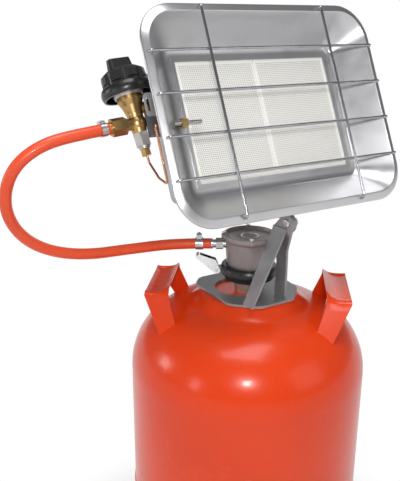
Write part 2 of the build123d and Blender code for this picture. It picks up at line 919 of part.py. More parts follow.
with BuildPart() as lever_pin:
    with BuildSketch(lever_side.offset(-lever_width / 2 - 1)):
        with Locations((lever_pivot_reach, lever_pivot_lift)):
            Circle(lever_pin_radius)
    extrude(amount=lever_width + 2)
lever_pin.part.label = "lever_pin"

# Reflector pan
def rounded(width, height, corner, behind, grow=0.0):
    """A rounded rectangle in a plane behind the flange, grown on every side."""
    with BuildSketch(head_face.offset(-behind)) as shape:
        RectangleRounded(width + 2 * grow, height + 2 * grow, corner + grow)
    return shape.sketch


pan_lip = rounded(flange_width, flange_height, flange_corner, flange_drop)
pan_lip_inside = rounded(flange_width, flange_height, flange_corner, flange_drop + pan_sheet, grow=-pan_sheet)
pan_brow = rounded(mouth_width, mouth_height, mouth_corner, 0, grow=pan_sheet)
pan_brow_inside = rounded(mouth_width, mouth_height, mouth_corner, pan_sheet, grow=pan_sheet / 2)
pan_mouth = rounded(mouth_width, mouth_height, mouth_corner, 0)
pan_floor = rounded(floor_width, floor_height, floor_corner, pan_depth)
pan_back = rounded(floor_width, floor_height, floor_corner, pan_depth + pan_sheet, grow=pan_sheet)
tiles_width = 2 * tile_width + tile_joint
pan_opening = rounded(tiles_width, tile_height, opening_corner, pan_depth - 1, grow=opening_gap)

with BuildPart() as reflector_pan:
    loft(sections=[pan_lip, pan_brow])
    extrude(pan_lip, amount=-pan_sheet)
    loft(sections=[pan_lip_inside, pan_brow_inside], mode=Mode.SUBTRACT)
    loft(sections=[pan_brow, pan_back])
    loft(sections=[pan_mouth, pan_floor], mode=Mode.SUBTRACT)
    extrude(pan_opening, amount=-2 * pan_sheet - 2, mode=Mode.SUBTRACT)
    with BuildSketch(across_plane(-mouth_width / 2, probe_up, probe_behind)):
        Circle(probe_sleeve_radius + running_fit)
    extrude(amount=mouth_width / 3, mode=Mode.SUBTRACT)
    with BuildSketch(head_face.offset(1)):
        for row in range(bar_count):
            rise = (row - (bar_count - 1) / 2) * bar_spacing
            with Locations((-bar_reach, rise), (bar_reach, rise)):
                Circle(wire_radius + wire_contact)
        with GridLocations(2 * upright_wire_spread, 2 * upright_wire_reach, 2, 2):
            Circle(wire_radius + wire_contact)
    extrude(amount=-flange_drop - 4, mode=Mode.SUBTRACT)
reflector_pan.part.label = "reflector_pan"

# Guard wires: hooked into the flange at both ends
guard_plane_behind = -(wire_radius + wire_clearance)
upright_plane_behind = guard_plane_behind - 2 * wire_radius - wire_contact


def guard_wire(start, end, behind):
    """One guard wire, from a hook in the flange at start to one at end."""
    with BuildPart() as wire:
        with BuildLine() as path:
            FilletPolyline(
                head_point(start[0], start[1], wire_hook),
                head_point(start[0], start[1], behind),
                head_point(end[0], end[1], behind),
                head_point(end[0], end[1], wire_hook),
                radius=wire_bend,
            )
        with BuildSketch(Plane(origin=head_point(start[0], start[1], wire_hook), z_dir=front_axis)):
            Circle(wire_radius)
        sweep(path=path.line)
    return wire.part


bar_rises = [(row - (bar_count - 1) / 2) * bar_spacing for row in range(bar_count)]
bar_wires = [guard_wire((-bar_reach, rise), (bar_reach, rise), guard_plane_behind) for rise in bar_rises]
with BuildPart() as guard_bars:
    add(bar_wires)
guard_bars.part.label = "guard_bars"

upright_places = [(upright_wire_spread * side, upright_wire_reach) for side in (-1, 1)]
upright_wires = [guard_wire((a, -b), (a, b), upright_plane_behind) for a, b in upright_places]
with BuildPart() as guard_uprights:
    add(upright_wires)
guard_uprights.part.label = "guard_uprights"

# Ceramic burner
tile_front = pan_depth + tile_set_back
tile_back = tile_front + tile_thickness
floor_back = pan_depth + pan_sheet
tiles = []
for side, name in ((-1, "ceramic_tile_left"), (1, "ceramic_tile_right")):
    with BuildPart() as tile:
        with BuildSketch(head_face.offset(-tile_back)):
            with Locations((side * (tile_width + tile_joint) / 2, 0)):
                Rectangle(tile_width, tile_height)
        extrude(amount=tile_thickness)
        chamfer(tile.faces().sort_by(Axis(head_centre, front_axis))[-1].edges(), 0.8)
    tile.part.label = name
    tiles.append(tile)

with BuildPart() as tile_gasket:
    extrude(rounded(tiles_width, tile_height, opening_corner, tile_back, grow=gasket_width), amount=tile_back - floor_back)
    with BuildSketch(head_face.offset(-tile_back)):
        Rectangle(tiles_width, tile_height)
    extrude(amount=tile_thickness, mode=Mode.SUBTRACT)
tile_gasket.part.label = "tile_gasket"

with BuildPart() as tile_frame:
    extrude(rounded(tiles_width, tile_height, opening_corner, pan_depth, grow=frame_border - frame_overlap), amount=frame_sheet)
    with BuildSketch(head_face.offset(-pan_depth)):
        Rectangle(tiles_width - 2 * frame_overlap, tile_height - 2 * frame_overlap)
    extrude(amount=frame_sheet, mode=Mode.SUBTRACT)
tile_frame.part.label = "tile_frame"

box_back = floor_back + box_depth
feed_up = valve_up + outlet_up
with BuildPart() as burner_box:
    extrude(rounded(tiles_width, tile_height, opening_corner, floor_back, grow=gasket_width + box_sheet + box_flange), amount=-box_sheet)
    extrude(rounded(tiles_width, tile_height, opening_corner, floor_back, grow=gasket_width + box_sheet), amount=-box_depth)
    extrude(rounded(tiles_width, tile_height, opening_corner, floor_back, grow=gasket_width), amount=-box_depth + box_sheet, mode=Mode.SUBTRACT)
    with BuildSketch(across_plane(-flange_width / 2, feed_up, valve_behind)):
        Circle(tube_radius)
    extrude(amount=flange_width / 2, mode=Mode.SUBTRACT)
burner_box.part.label = "burner_box"

with BuildPart() as tile_rest:
    extrude(rounded(tiles_width, tile_height, opening_corner, tile_back, grow=gasket_width), amount=-rest_sheet)
    with BuildSketch(head_face.offset(-tile_back)):
        Rectangle(tiles_width - rest_width, tile_height - rest_width)
    extrude(amount=-rest_sheet, mode=Mode.SUBTRACT)
tile_rest.part.label = "tile_rest"

shield_front = box_back + shield_gap
with BuildPart() as rear_shield:
    extrude(rounded(tiles_width, tile_height, opening_corner, shield_front + shield_sheet, grow=shield_margin + gasket_width), amount=shield_sheet + shield_lip)
    extrude(rounded(tiles_width, tile_height, opening_corner, shield_front, grow=shield_margin + gasket_width - shield_sheet), amount=shield_lip, mode=Mode.SUBTRACT)
rear_shield.part.label = "rear_shield"

spacer_grid = (tiles_width - 2 * spacer_inset, tile_height - 2 * spacer_inset)
with BuildPart() as shield_spacers:
    with BuildSketch(head_face.offset(-box_back)):
        with GridLocations(*spacer_grid, 2, 2):
            Circle(spacer_radius)
    extrude(amount=-shield_gap)
shield_spacers.part.label = "shield_spacers"

with BuildPart() as shield_screws:
    with BuildSketch(head_face.offset(-shield_front - shield_sheet)):
        with GridLocations(*spacer_grid, 2, 2):
            Circle(screw_head_radius)
    extrude(amount=-screw_head_height)
    chamfer(shield_screws.faces().group_by(Axis(head_centre, front_axis))[0].edges(), 0.8)
shield_screws.part.label = "shield_screws"

# Tilt lug: hangs from the burner box beside the bracket's upright
box_half_height = tile_height / 2 + gasket_width + box_sheet
lug_plane = Plane(origin=head_point(lug_face - head_across, 0, 0), x_dir=rise_axis, z_dir=across_axis)
with BuildPart() as tilt_lug:
    with BuildSketch(lug_plane):
        with BuildLine():
            Polyline(
                (-pivot_drop, -pivot_behind + ear_radius),
                (-box_half_height, -floor_back - 5),
                (-box_half_height, -box_back + 8),
                (-pivot_drop, -pivot_behind - ear_radius),
                close=True,
            )
        make_face()
        with Locations((-pivot_drop, -pivot_behind)):
            Circle(ear_radius)
            Circle(bolt_radius + running_fit, mode=Mode.SUBTRACT)
    extrude(amount=lug_sheet)
    with BuildSketch(lug_plane):
        with BuildLine():
            Polyline(
                (-box_half_height, -floor_back - 5),
                (-box_half_height, -box_back + 8),
                (-box_half_height - lug_sheet / 2, -box_back + 8),
                (-box_half_height - lug_sheet / 2, -floor_back - 5),
                close=True,
            )
        make_face()
    extrude(amount=ear_radius * 1.5)
tilt_lug.part.label = "tilt_lug"

# Thermoelectric gas valve
feed_across = valve_across - outlet_up * tan(lean)
with BuildPart() as valve_body:
    with BuildSketch(valve_section):
        with BuildLine():
            Polyline((0, -valve_foot), (valve_waist_radius - 1, -valve_foot), (valve_waist_radius, -6))
            ThreePointArc((valve_waist_radius, -6), (valve_ball_radius, 0), (valve_waist_radius, 6))
            Polyline(
                (valve_waist_radius, 6),
                (valve_waist_radius + 0.4, 11),
                (valve_body_radius - 3, 20),
                (valve_body_radius, 26),
                (valve_body_radius, valve_body_top),
                (0, valve_body_top),
                (0, -valve_foot),
            )
        make_face()
    revolve(axis=valve_line)
    with BuildSketch(inlet_plane):
        Circle(inlet_radius)
    extrude(amount=inlet_start)
    with BuildSketch(across_plane(feed_across, feed_up, valve_behind)):
        Circle(outlet_boss_radius)
    extrude(amount=bracket_face - bracket_sheet - feed_across)
    with BuildSketch(across_plane(feed_across, feed_up, valve_behind)):
        Circle(spigot_radius)
    extrude(amount=bracket_face + spigot_length - feed_across)
    with BuildSketch(valve_base.offset(spindle_foot - push_travel - 0.5)):
        Circle(spindle_radius + running_fit)
    extrude(amount=valve_body_top - spindle_foot + push_travel + 1, mode=Mode.SUBTRACT)
valve_body.part.label = "valve_body"

bonnet_top = valve_body_top + bonnet_height
with BuildPart() as valve_bonnet:
    with BuildSketch(valve_section):
        with BuildLine():
            Polyline(
                (spindle_radius + running_fit, valve_body_top),
                (bonnet_radius - bonnet_taper, valve_body_top),
                (bonnet_radius, valve_body_top + 4),
                (bonnet_radius, bonnet_top - 1),
                (bonnet_radius - 1, bonnet_top),
                (spindle_radius + running_fit, bonnet_top),
                close=True,
            )
        make_face()
    revolve(axis=valve_line)
valve_bonnet.part.label = "valve_bonnet"

with BuildPart() as bonnet_screws:
    with BuildSketch(valve_base.offset(bonnet_top)):
        with PolarLocations(bonnet_radius - 4, 3):
            Circle(bonnet_screw_radius)
    extrude(amount=bonnet_screw_height)
bonnet_screws.part.label = "bonnet_screws"

magnet_end = -valve_foot - magnet_length
with BuildPart() as magnet_unit:
    with BuildSketch(valve_base.offset(-valve_foot)):
        RegularPolygon(magnet_flats / 2, 6, major_radius=False)
    extrude(amount=-magnet_length)
    with BuildSketch(valve_base.offset(magnet_end)):
        Circle(magnet_foot_radius)
    extrude(amount=-magnet_foot_length)
magnet_unit.part.label = "magnet_unit"

lead_start = magnet_end - magnet_foot_length
with BuildPart() as magnet_nut:
    with BuildSketch(valve_base.offset(lead_start)):
        RegularPolygon(magnet_nut_flats / 2, 6, major_radius=False)
    extrude(amount=-magnet_nut_length)
    with BuildSketch(valve_base.offset(lead_start)):
        Circle(lead_radius)
    extrude(amount=-magnet_nut_length, mode=Mode.SUBTRACT)
magnet_nut.part.label = "magnet_nut"

inlet_end = inlet_start + inlet_nut_length
with BuildPart() as inlet_nut:
    with BuildSketch(inlet_plane.offset(inlet_start)):
        RegularPolygon(inlet_nut_flats / 2, 6, major_radius=False)
    extrude(amount=inlet_nut_length - 3)
    with BuildSketch(inlet_plane.offset(inlet_end - 3)):
        Circle(hose_radius)
    extrude(amount=3)
inlet_nut.part.label = "inlet_nut"

with BuildPart() as valve_spindle:
    with BuildSketch(valve_base.offset(spindle_foot)):
        Circle(spindle_radius)
    extrude(amount=knob_ceiling + 14 - spindle_foot)
valve_spindle.part.label = "valve_spindle"

# Control knob
with BuildPart() as control_knob:
    with BuildSketch(valve_section):
        with BuildLine():
            Polyline(
                (0, knob_ceiling),
                (bonnet_radius + 1.5, knob_ceiling),
                (bonnet_radius + 1.5, skirt_top - 1),
                (skirt_radius - skirt_wall, skirt_top - 3),
                (skirt_radius - skirt_wall, skirt_bottom),
                (skirt_radius - 1.5, skirt_bottom),
            )
            ThreePointArc(
                (skirt_radius - 1.5, skirt_bottom),
                (skirt_radius, (skirt_bottom + skirt_top) / 2),
                (skirt_radius - 2, skirt_top),
            )
            Polyline(
                (skirt_radius - 2, skirt_top),
                (grip_radius - 1.5, skirt_top + 1),
                (grip_radius - 1.5, grip_bottom),
                (grip_radius, grip_bottom + 1),
                (grip_radius - 0.5, grip_top),
                (grip_radius - 3, grip_top + 2),
                (crown_knob_radius, crown_knob_top - 1),
                (crown_knob_radius - 2, crown_knob_top),
                (0, crown_knob_top),
                (0, knob_ceiling),
            )
        make_face()
    revolve(axis=valve_line)
    with BuildSketch(valve_base.offset(skirt_top + 1)):
        with PolarLocations(grip_radius + grip_scallop * 0.62, scallop_count, 360 / scallop_count / 2):
            Circle(grip_scallop)
    extrude(amount=grip_top + 2 - skirt_top, mode=Mode.SUBTRACT)
    with BuildSketch(valve_base.offset(crown_knob_top - 4)):
        RectangleRounded(blade_width + 4, blade_thickness + 2, 5)
    with BuildSketch(valve_base.offset(knob_top)):
        RectangleRounded(blade_width, blade_thickness - 1, 4.5)
    loft()
    with BuildSketch(valve_base.offset(knob_ceiling - 1)):
        Circle(spindle_radius + running_fit)
    extrude(amount=15 + running_fit, mode=Mode.SUBTRACT)
control_knob.part.label = "control_knob"

# Valve bracket, lock nut, injector and mixing tube
box_side = tiles_width / 2 + gasket_width + box_sheet
with BuildPart() as valve_bracket:
    with BuildSketch(across_plane(bracket_face - bracket_sheet, 0, 0)):
        with BuildLine():
            Polyline(
                (bracket_low, -bracket_front),
                (bracket_high, -bracket_front),
                (bracket_high, -bracket_back),
                (bracket_low, -bracket_back),
                close=True,
            )
        make_face()
    extrude(amount=-bracket_face - box_side + bracket_sheet)
    with BuildSketch(across_plane(bracket_face, 0, 0)):
        with BuildLine():
            Polyline(
                (bracket_low + bracket_sheet, -bracket_front + 1),
                (bracket_high + 1, -bracket_front + 1),
                (bracket_high + 1, -bracket_back - 1),
                (bracket_low + bracket_sheet, -bracket_back - 1),
                close=True,
            )
        make_face()
    extrude(amount=-bracket_face - box_side, mode=Mode.SUBTRACT)
    with BuildSketch(across_plane(bracket_face - bracket_sheet - 1, feed_up, valve_behind)):
        Circle(spigot_radius + running_fit)
    extrude(amount=bracket_sheet + 2, mode=Mode.SUBTRACT)
valve_bracket.part.label = "valve_bracket"

with BuildPart() as outlet_locknut:
    with BuildSketch(across_plane(bracket_face, feed_up, valve_behind)):
        RegularPolygon(locknut_flats / 2, 6, major_radius=False)
        Circle(spigot_radius, mode=Mode.SUBTRACT)
    extrude(amount=locknut_height)
outlet_locknut.part.label = "outlet_locknut"

injector_start = bracket_face + spigot_length
with BuildPart() as gas_injector:
    with BuildSketch(across_plane(injector_start, feed_up, valve_behind)):
        RegularPolygon(injector_flats / 2, 6, major_radius=False)
    extrude(amount=injector_length)
    with BuildSketch(across_plane(injector_start + injector_length, feed_up, valve_behind)):
        Circle(jet_radius)
    extrude(amount=jet_length)
gas_injector.part.label = "gas_injector"

bell_start = -box_side - bell_length
with BuildPart() as mixing_tube:
    with BuildSketch(Plane(origin=head_point(0, feed_up, valve_behind), x_dir=across_axis, z_dir=front_axis)):
        with BuildLine():
            Polyline(
                (bell_start, bell_radius - tube_wall),
                (bell_start, bell_radius),
                (-box_side - 3, tube_radius),
                (tube_inner_end, tube_radius),
                (tube_inner_end, tube_radius - tube_wall),
                (-box_side - 3, tube_radius - tube_wall),
                close=True,
            )
        make_face()
    revolve(axis=Axis(head_point(0, feed_up, valve_behind), across_axis))
mixing_tube.part.label = "mixing_tube"

# Side lug on the pan's left wall
pan_slope = (mouth_width - floor_width) / 2 / (pan_depth + pan_sheet)
lug_inner = mouth_width / 2 + pan_sheet - pan_slope * side_lug_behind + running_fit
side_lug_height = side_lug_high - side_lug_low
with BuildPart() as side_lug:
    with BuildSketch(head_face.offset(-side_lug_behind - side_lug_sheet)):
        with Locations((-(side_lug_reach + lug_inner) / 2, (side_lug_low + side_lug_high) / 2)):
            Rectangle(side_lug_reach - lug_inner, side_lug_height)
        with Locations((-side_lug_reach + side_lug_slot, (side_lug_low + side_lug_high) / 2)):
            SlotOverall(side_lug_height * 0.6, side_lug_slot, rotation=90, mode=Mode.SUBTRACT)
    extrude(amount=side_lug_sheet)
    outer_edges = side_lug.edges().filter_by(Axis(head_centre, front_axis)).sort_by(Axis.X)[:2]
    fillet(outer_edges, 4)
side_lug.part.label = "side_lug"

# Thermocouple: probe through the pan's wall, nut, and copper lead round to the magnet unit
probe_wall = mouth_width / 2 - (mouth_width - floor_width) / 2 * probe_behind / pan_depth
probe_back = probe_wall + 6
with BuildPart() as thermocouple_probe:
    with BuildSketch(across_plane(-probe_back, probe_up, probe_behind)):
        Circle(probe_sleeve_radius)
    extrude(amount=probe_back - probe_nut_start + probe_nut_length)
    with BuildSketch(across_plane(-probe_nut_start + probe_nut_length, probe_up, probe_behind)):
        Circle(probe_tip_radius)
    extrude(amount=probe_nut_start - probe_nut_length - probe_tip_reach)
    fillet(thermocouple_probe.faces().sort_by(Axis.X)[-1].edges(), 1.2)
thermocouple_probe.part.label = "thermocouple_probe"

with BuildPart() as probe_nut:
    with BuildSketch(across_plane(-probe_nut_start, probe_up, probe_behind)):
        RegularPolygon(probe_nut_flats / 2, 6, major_radius=False)
        Circle(probe_sleeve_radius, mode=Mode.SUBTRACT)
    extrude(amount=probe_nut_length - 1)
probe_nut.part.label = "probe_nut"

lead_top = valve_base.origin + valve_axis * lead_start
lead_middle = [(-156, -57, 36), (-155.5, -68, 20), (-161.5, -48, 9), (-161.5, -6, 8.5), (-150, probe_up, 24)]
lead_points = [
    lead_top,
    lead_top - valve_axis * (magnet_nut_length + lead_run),
    *[head_point(across, rise, behind) for across, rise, behind in lead_middle],
    head_point(-probe_back - lead_run, probe_up, probe_behind),
    head_point(-probe_back, probe_up, probe_behind),
]
with BuildPart() as thermocouple_lead:
    with BuildLine() as lead_path:
        FilletPolyline(*lead_points, radius=lead_bend)
    with BuildSketch(Plane(origin=lead_top, z_dir=valve_axis * -1)):
        Circle(lead_radius)
    sweep(path=lead_path.line)
thermocouple_lead.part.label = "thermocouple_lead"

# Gas hose: one loop from the regulator's tail to the valve's inlet
hose_start = outlet_plane.origin + outlet_axis * outlet_reach
hose_end = inlet_plane.origin - valve_side * (inlet_end + hose_seat)
hose_middle = [
    (-78.7, 47.7, 57),
    (-138, 57, 57),
    (-193, 58, 59),
    (-237, 55, 72),
    (-268, 50, 94),
    (-285, 44, 123),
    (-287, 37, 153),
    (-276, 29, 180),
    (-252, 23, 198),
]
hose_middle_points = [Vector(x, y, plate_top + z) for x, y, z in hose_middle]
hose_points = [hose_start, *hose_middle_points, hose_end - valve_side * hose_end_run, hose_end]


def hose_radii(points):
    """The largest arc that each corner of the route has room for."""
    radii = []
    for before, corner, after in zip(points, points[1:], points[2:]):
        turn = radians((corner - before).get_angle(after - corner))
        run = min((corner - before).length, (after - corner).length)
        radii.append(0.45 * run / tan(turn / 2))
    return radii


radii = hose_radii(hose_points)
with BuildPart() as gas_hose:
    with BuildLine() as hose_path:
        FilletPolyline(*hose_points, radius=radii)
    with BuildSketch(Plane(origin=hose_start, z_dir=outlet_axis)):
        Circle(hose_radius)
    sweep(path=hose_path.line)
gas_hose.part.label = "gas_hose"
hose_length = sum(edge.length for edge in hose_path.line.edges())
print("hose radii", [round(value, 1) for value in radii])
print("hose length", round(hose_length, 1), "volume ratio", gas_hose.part.volume / (pi * hose_radius**2 * hose_length))


band_in = hose_radius + clamp_fit
band_out = band_in + clamp_thickness
lower_clamp_plane = outlet_plane.offset(outlet_reach + clamp_offset)
screw_place = lower_clamp_plane.origin + lower_clamp_plane.x_dir * (band_out + screw_stand)
screw_plane = Plane(
    origin=screw_place + lower_clamp_plane.z_dir * (clamp_width / 2),
    z_dir=lower_clamp_plane.y_dir,
)
with BuildPart() as hose_clamp_lower:
    with BuildSketch(lower_clamp_plane):
        Circle(band_out)
        Circle(band_in, mode=Mode.SUBTRACT)
    extrude(amount=clamp_width)
    with BuildSketch(lower_clamp_plane.offset((clamp_width - screw_housing) / 2)):
        with Locations((band_out + screw_stand, 0)):
            Rectangle(2 * screw_stand + clamp_thickness, screw_span)
    extrude(amount=screw_housing)
    with BuildSketch(screw_plane.offset(screw_span / 2)):
        RegularPolygon(screw_head, 6)
    extrude(amount=screw_head)
hose_clamp_lower.part.label = "hose_clamp_lower"

ear_clamp_place = inlet_plane.origin - valve_side * (inlet_end + clamp_inset)
ear_clamp_plane = Plane(origin=ear_clamp_place, x_dir=valve_axis, z_dir=valve_side * -1)
with BuildPart() as hose_clamp_upper:
    with BuildSketch(ear_clamp_plane):
        Circle(band_out)
        with Locations((band_out, 0)):
            RectangleRounded(2 * clamp_ear_rise, clamp_ear_span, clamp_ear_round)
        Circle(band_in, mode=Mode.SUBTRACT)
    extrude(amount=ear_clamp_width)
hose_clamp_upper.part.label = "hose_clamp_upper"

assembly = [
    upper_shell, lower_shell, seam_weld, foot_ring, neck_boss, cylinder_valve, valve_gasket, valve_pin,
    *handles, mounting_plate, bracket_upright, bracket_brace, pivot_bolt, pivot_washer, pivot_nut,
    regulator_socket, regulator_cup, regulator_cover, cover_screws, diaphragm, diaphragm_ring,
    regulator_spring, regulator_pin, outlet_stub, locking_ring, regulator_lever, lever_pin,
    reflector_pan, guard_bars, guard_uprights, *tiles, tile_gasket, tile_frame, burner_box, tile_rest,
    rear_shield, shield_spacers, shield_screws, tilt_lug, valve_body, valve_bonnet, bonnet_screws,
    magnet_unit, magnet_nut, inlet_nut, valve_spindle, control_knob, valve_bracket, outlet_locknut,
    gas_injector, mixing_tube, side_lug, thermocouple_probe, probe_nut, thermocouple_lead, gas_hose,
    hose_clamp_lower, hose_clamp_upper,
]
for piece in assembly:
    export_step(piece.part, f"parts/{piece.part.label}.step")
print(len(assembly), "pieces; plate top", round(plate_top, 2), "head centre", head_centre, "pivot", pivot_point)
print("hose start", hose_start, "hose end", hose_end)
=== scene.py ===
import json
import logging
import math
from dataclasses import dataclass
from enum import Enum

import bmesh
import bpy
from mathutils import Matrix, Vector


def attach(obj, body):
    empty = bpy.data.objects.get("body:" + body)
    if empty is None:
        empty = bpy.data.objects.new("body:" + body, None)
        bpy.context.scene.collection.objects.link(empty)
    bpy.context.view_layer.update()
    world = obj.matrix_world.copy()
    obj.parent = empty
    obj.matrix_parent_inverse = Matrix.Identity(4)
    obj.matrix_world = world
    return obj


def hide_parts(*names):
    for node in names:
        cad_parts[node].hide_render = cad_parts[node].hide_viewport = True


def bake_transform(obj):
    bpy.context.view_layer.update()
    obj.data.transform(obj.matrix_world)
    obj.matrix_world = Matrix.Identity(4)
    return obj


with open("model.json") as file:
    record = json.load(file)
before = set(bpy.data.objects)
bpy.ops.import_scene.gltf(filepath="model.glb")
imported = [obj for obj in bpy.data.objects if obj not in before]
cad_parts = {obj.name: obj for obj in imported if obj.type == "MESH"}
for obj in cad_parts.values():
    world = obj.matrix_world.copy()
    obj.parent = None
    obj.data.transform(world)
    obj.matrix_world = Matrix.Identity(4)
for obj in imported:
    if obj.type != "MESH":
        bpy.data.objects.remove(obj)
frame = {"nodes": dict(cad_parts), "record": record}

logging.basicConfig(level=logging.INFO, format="%(name)s: %(message)s")
log = logging.getLogger("patio_heater")
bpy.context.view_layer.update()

MM = 0.001
PLATE_TOP = 0.46436
HEAD_TILT = math.radians(24.62)
HEAD_CENTRE = Vector((0.017, -0.0346826, 0.692799))
ACROSS = Vector((1.0, 0.0, 0.0))
RISE = Vector((0.0, math.sin(HEAD_TILT), math.cos(HEAD_TILT)))
BEHIND = Vector((0.0, math.cos(HEAD_TILT), -math.sin(HEAD_TILT)))


def head_point(across: float, rise: float, behind: float) -> Vector:
    """Places a point in the heater head's own directions.

    Args:
        across: millimetres to the right of the head's centre.
        rise: millimetres up its face.
        behind: millimetres behind its flange.

    Returns:
        The point in the model's frame, in metres.
    """
    return HEAD_CENTRE + (ACROSS * across + RISE * rise + BEHIND * behind) * MM


def axes_matrix(origin: Vector, x_axis: Vector, z_axis: Vector) -> Matrix:
    """Builds a placing matrix.

    Args:
        origin: where the local origin goes.
        x_axis: the local x direction.
        z_axis: the local z direction.

    Returns:
        A rigid transform.
    """
    z = z_axis.normalized()
    x = (x_axis - z * x_axis.dot(z)).normalized()
    y = z.cross(x)
    turn = Matrix((x, y, z)).transposed().to_4x4()
    return Matrix.Translation(origin) @ turn


HEAD_FRAME = axes_matrix(HEAD_CENTRE, ACROSS, RISE)

Colour = tuple[float, float, float]
SectionPoint = tuple[float, float]
Station = tuple[float, float, float, float]

# The colour sockets of a Mix node, by their index.
COLOUR_FACTOR, COLOUR_LOW, COLOUR_HIGH, COLOUR_OUT = 0, 6, 7, 2
CORNER_STEPS = 10
SIDE_STEPS = 6


class Grain(Enum):
    """The frame in which a finish lays its grain."""

    WORLD = "world"
    HEAD = "head"


class Sock:
    """A node socket that takes Python arithmetic."""

    def __init__(self, graph: "Graph", socket: bpy.types.NodeSocket) -> None:
        """Keeps the graph and the socket."""
        self.graph = graph
        self.socket = socket

    def _math(self, operation: str, first: object, second: object) -> "Sock":
        """Adds one Math node on two values."""
        settings = {"operation": operation}
        return self.graph.node("ShaderNodeMath", settings, {0: first, 1: second})

    def __add__(self, other: object) -> "Sock":
        """Returns self + other."""
        return self._math("ADD", self, other)

    def __radd__(self, other: object) -> "Sock":
        """Returns other + self."""
        return self._math("ADD", other, self)

    def __sub__(self, other: object) -> "Sock":
        """Returns self - other."""
        return self._math("SUBTRACT", self, other)

    def __rsub__(self, other: object) -> "Sock":
        """Returns other - self."""
        return self._math("SUBTRACT", other, self)

    def __mul__(self, other: object) -> "Sock":
        """Returns self * other."""
        return self._math("MULTIPLY", self, other)

    def __rmul__(self, other: object) -> "Sock":
        """Returns other * self."""
        return self._math("MULTIPLY", other, self)

    def power(self, exponent: float) -> "Sock":
        """Returns self to a power."""
        return self._math("POWER", self, exponent)

    def larger(self, other: object) -> "Sock":
        """Returns the larger of two values."""
        return self._math("MAXIMUM", self, other)

    def size(self) -> "Sock":
        """Returns the value without its sign."""
        return self._math("ABSOLUTE", self, 0.0)

    def repeat(self, length: float) -> "Sock":
        """Returns the distance from the nearest multiple of a length."""
        return self._math("PINGPONG", self, length / 2)

    def step(self, low: float, high: float) -> "Sock":
        """Returns a smooth step from 0 at low to 1 at high.

        Args:
            low: the value at which the step starts.
            high: the value at which it ends.

        Returns:
            The step's Sock.
        """
        settings = {"interpolation_type": "SMOOTHSTEP"}
        sockets = {"Value": self, "From Min": low, "From Max": high}
        return self.graph.node("ShaderNodeMapRange", settings, sockets)


class Graph:
    """The node tree of one material, with one Principled shader."""

    def __init__(self, name: str) -> None:
        """Starts an empty material of that name."""
        self.material = bpy.data.materials.new(name)
        self.material.use_nodes = True
        self.tree = self.material.node_tree
        self.shader = self.tree.nodes["Principled BSDF"]

    def node(self, kind: str, settings: dict, sockets: dict, out: object = 0) -> Sock:
        """Adds a node.

        Args:
            kind: the node's type.
            settings: its properties, set before its sockets.
            sockets: values or Socks for its inputs, by name or index.
            out: the output that is wanted.

        Returns:
            The output's Sock.
        """
        made = self.tree.nodes.new(kind)
        for key, value in settings.items():
            setattr(made, key, value)
        for key, value in sockets.items():
            self.put(made.inputs[key], value)
        return Sock(self, made.outputs[out])

    def put(self, target: bpy.types.NodeSocket, value: object) -> None:
        """Links a Sock to an input, or sets its value.

        Args:
            target: the input.
            value: a Sock, a number, a colour of three values or a vector.
        """
        if isinstance(value, Sock):
            self.tree.links.new(value.socket, target)
        elif target.type == "RGBA" and len(value) == 3:
            target.default_value = (*value, 1.0)
        else:
            target.default_value = value

    def set(self, **sockets: object) -> None:
        """Feeds the shader's inputs.

        Args:
            sockets: values or Socks by the input's name, with underscores for spaces.
        """
        for key, value in sockets.items():
            self.put(self.shader.inputs[key.replace("_", " ")], value)

    def place(self, grain: Grain) -> Sock:
        """Returns object coordinates in the grain's frame.

        Args:
            grain: the frame that is wanted.

        Returns:
            The coordinates' Sock, in metres.
        """
        here = self.node("ShaderNodeTexCoord", {}, {}, "Object")
        if grain is Grain.WORLD:
            return here
        sockets = {
            "Vector": here,
            "Location": HEAD_FRAME.to_translation(),
            "Rotation": HEAD_FRAME.to_euler(),
        }
        return self.node("ShaderNodeMapping", {"vector_type": "TEXTURE"}, sockets)

    def stretch(self, vector: Sock, scale: tuple[float, float, float]) -> Sock:
        """Returns a vector scaled along its axes."""
        return self.node("ShaderNodeVectorMath", {"operation": "MULTIPLY"}, {0: vector, 1: scale})

    def noise(self, vector: Sock, scale: float, detail: float = 3.0) -> Sock:
        """Returns a noise value between 0 and 1.

        Args:
            vector: the place at which it is read.
            scale: its features per metre.
            detail: how many finer layers it has.

        Returns:
            The value's Sock.
        """
        sockets = {"Vector": vector, "Scale": scale, "Detail": detail}
        return self.node("ShaderNodeTexNoise", {}, sockets)

    def blend(self, factor: object, low: object, high: object) -> Sock:
        """Returns a colour between two colours.

        Args:
            factor: 0 for the low colour and 1 for the high one.
            low: the first colour.
            high: the second colour.

        Returns:
            The colour's Sock.
        """
        sockets = {COLOUR_FACTOR: factor, COLOUR_LOW: low, COLOUR_HIGH: high}
        return self.node("ShaderNodeMix", {"data_type": "RGBA"}, sockets, COLOUR_OUT)

    def bump(self, height: Sock, distance: float) -> None:
        """Feeds the shader's normal.

        Args:
            height: a value between 0 and 1.
            distance: the height of 1, in metres.
        """
        sockets = {"Height": height, "Distance": distance, "Strength": 1.0}
        self.set(Normal=self.node("ShaderNodeBump", {}, sockets))


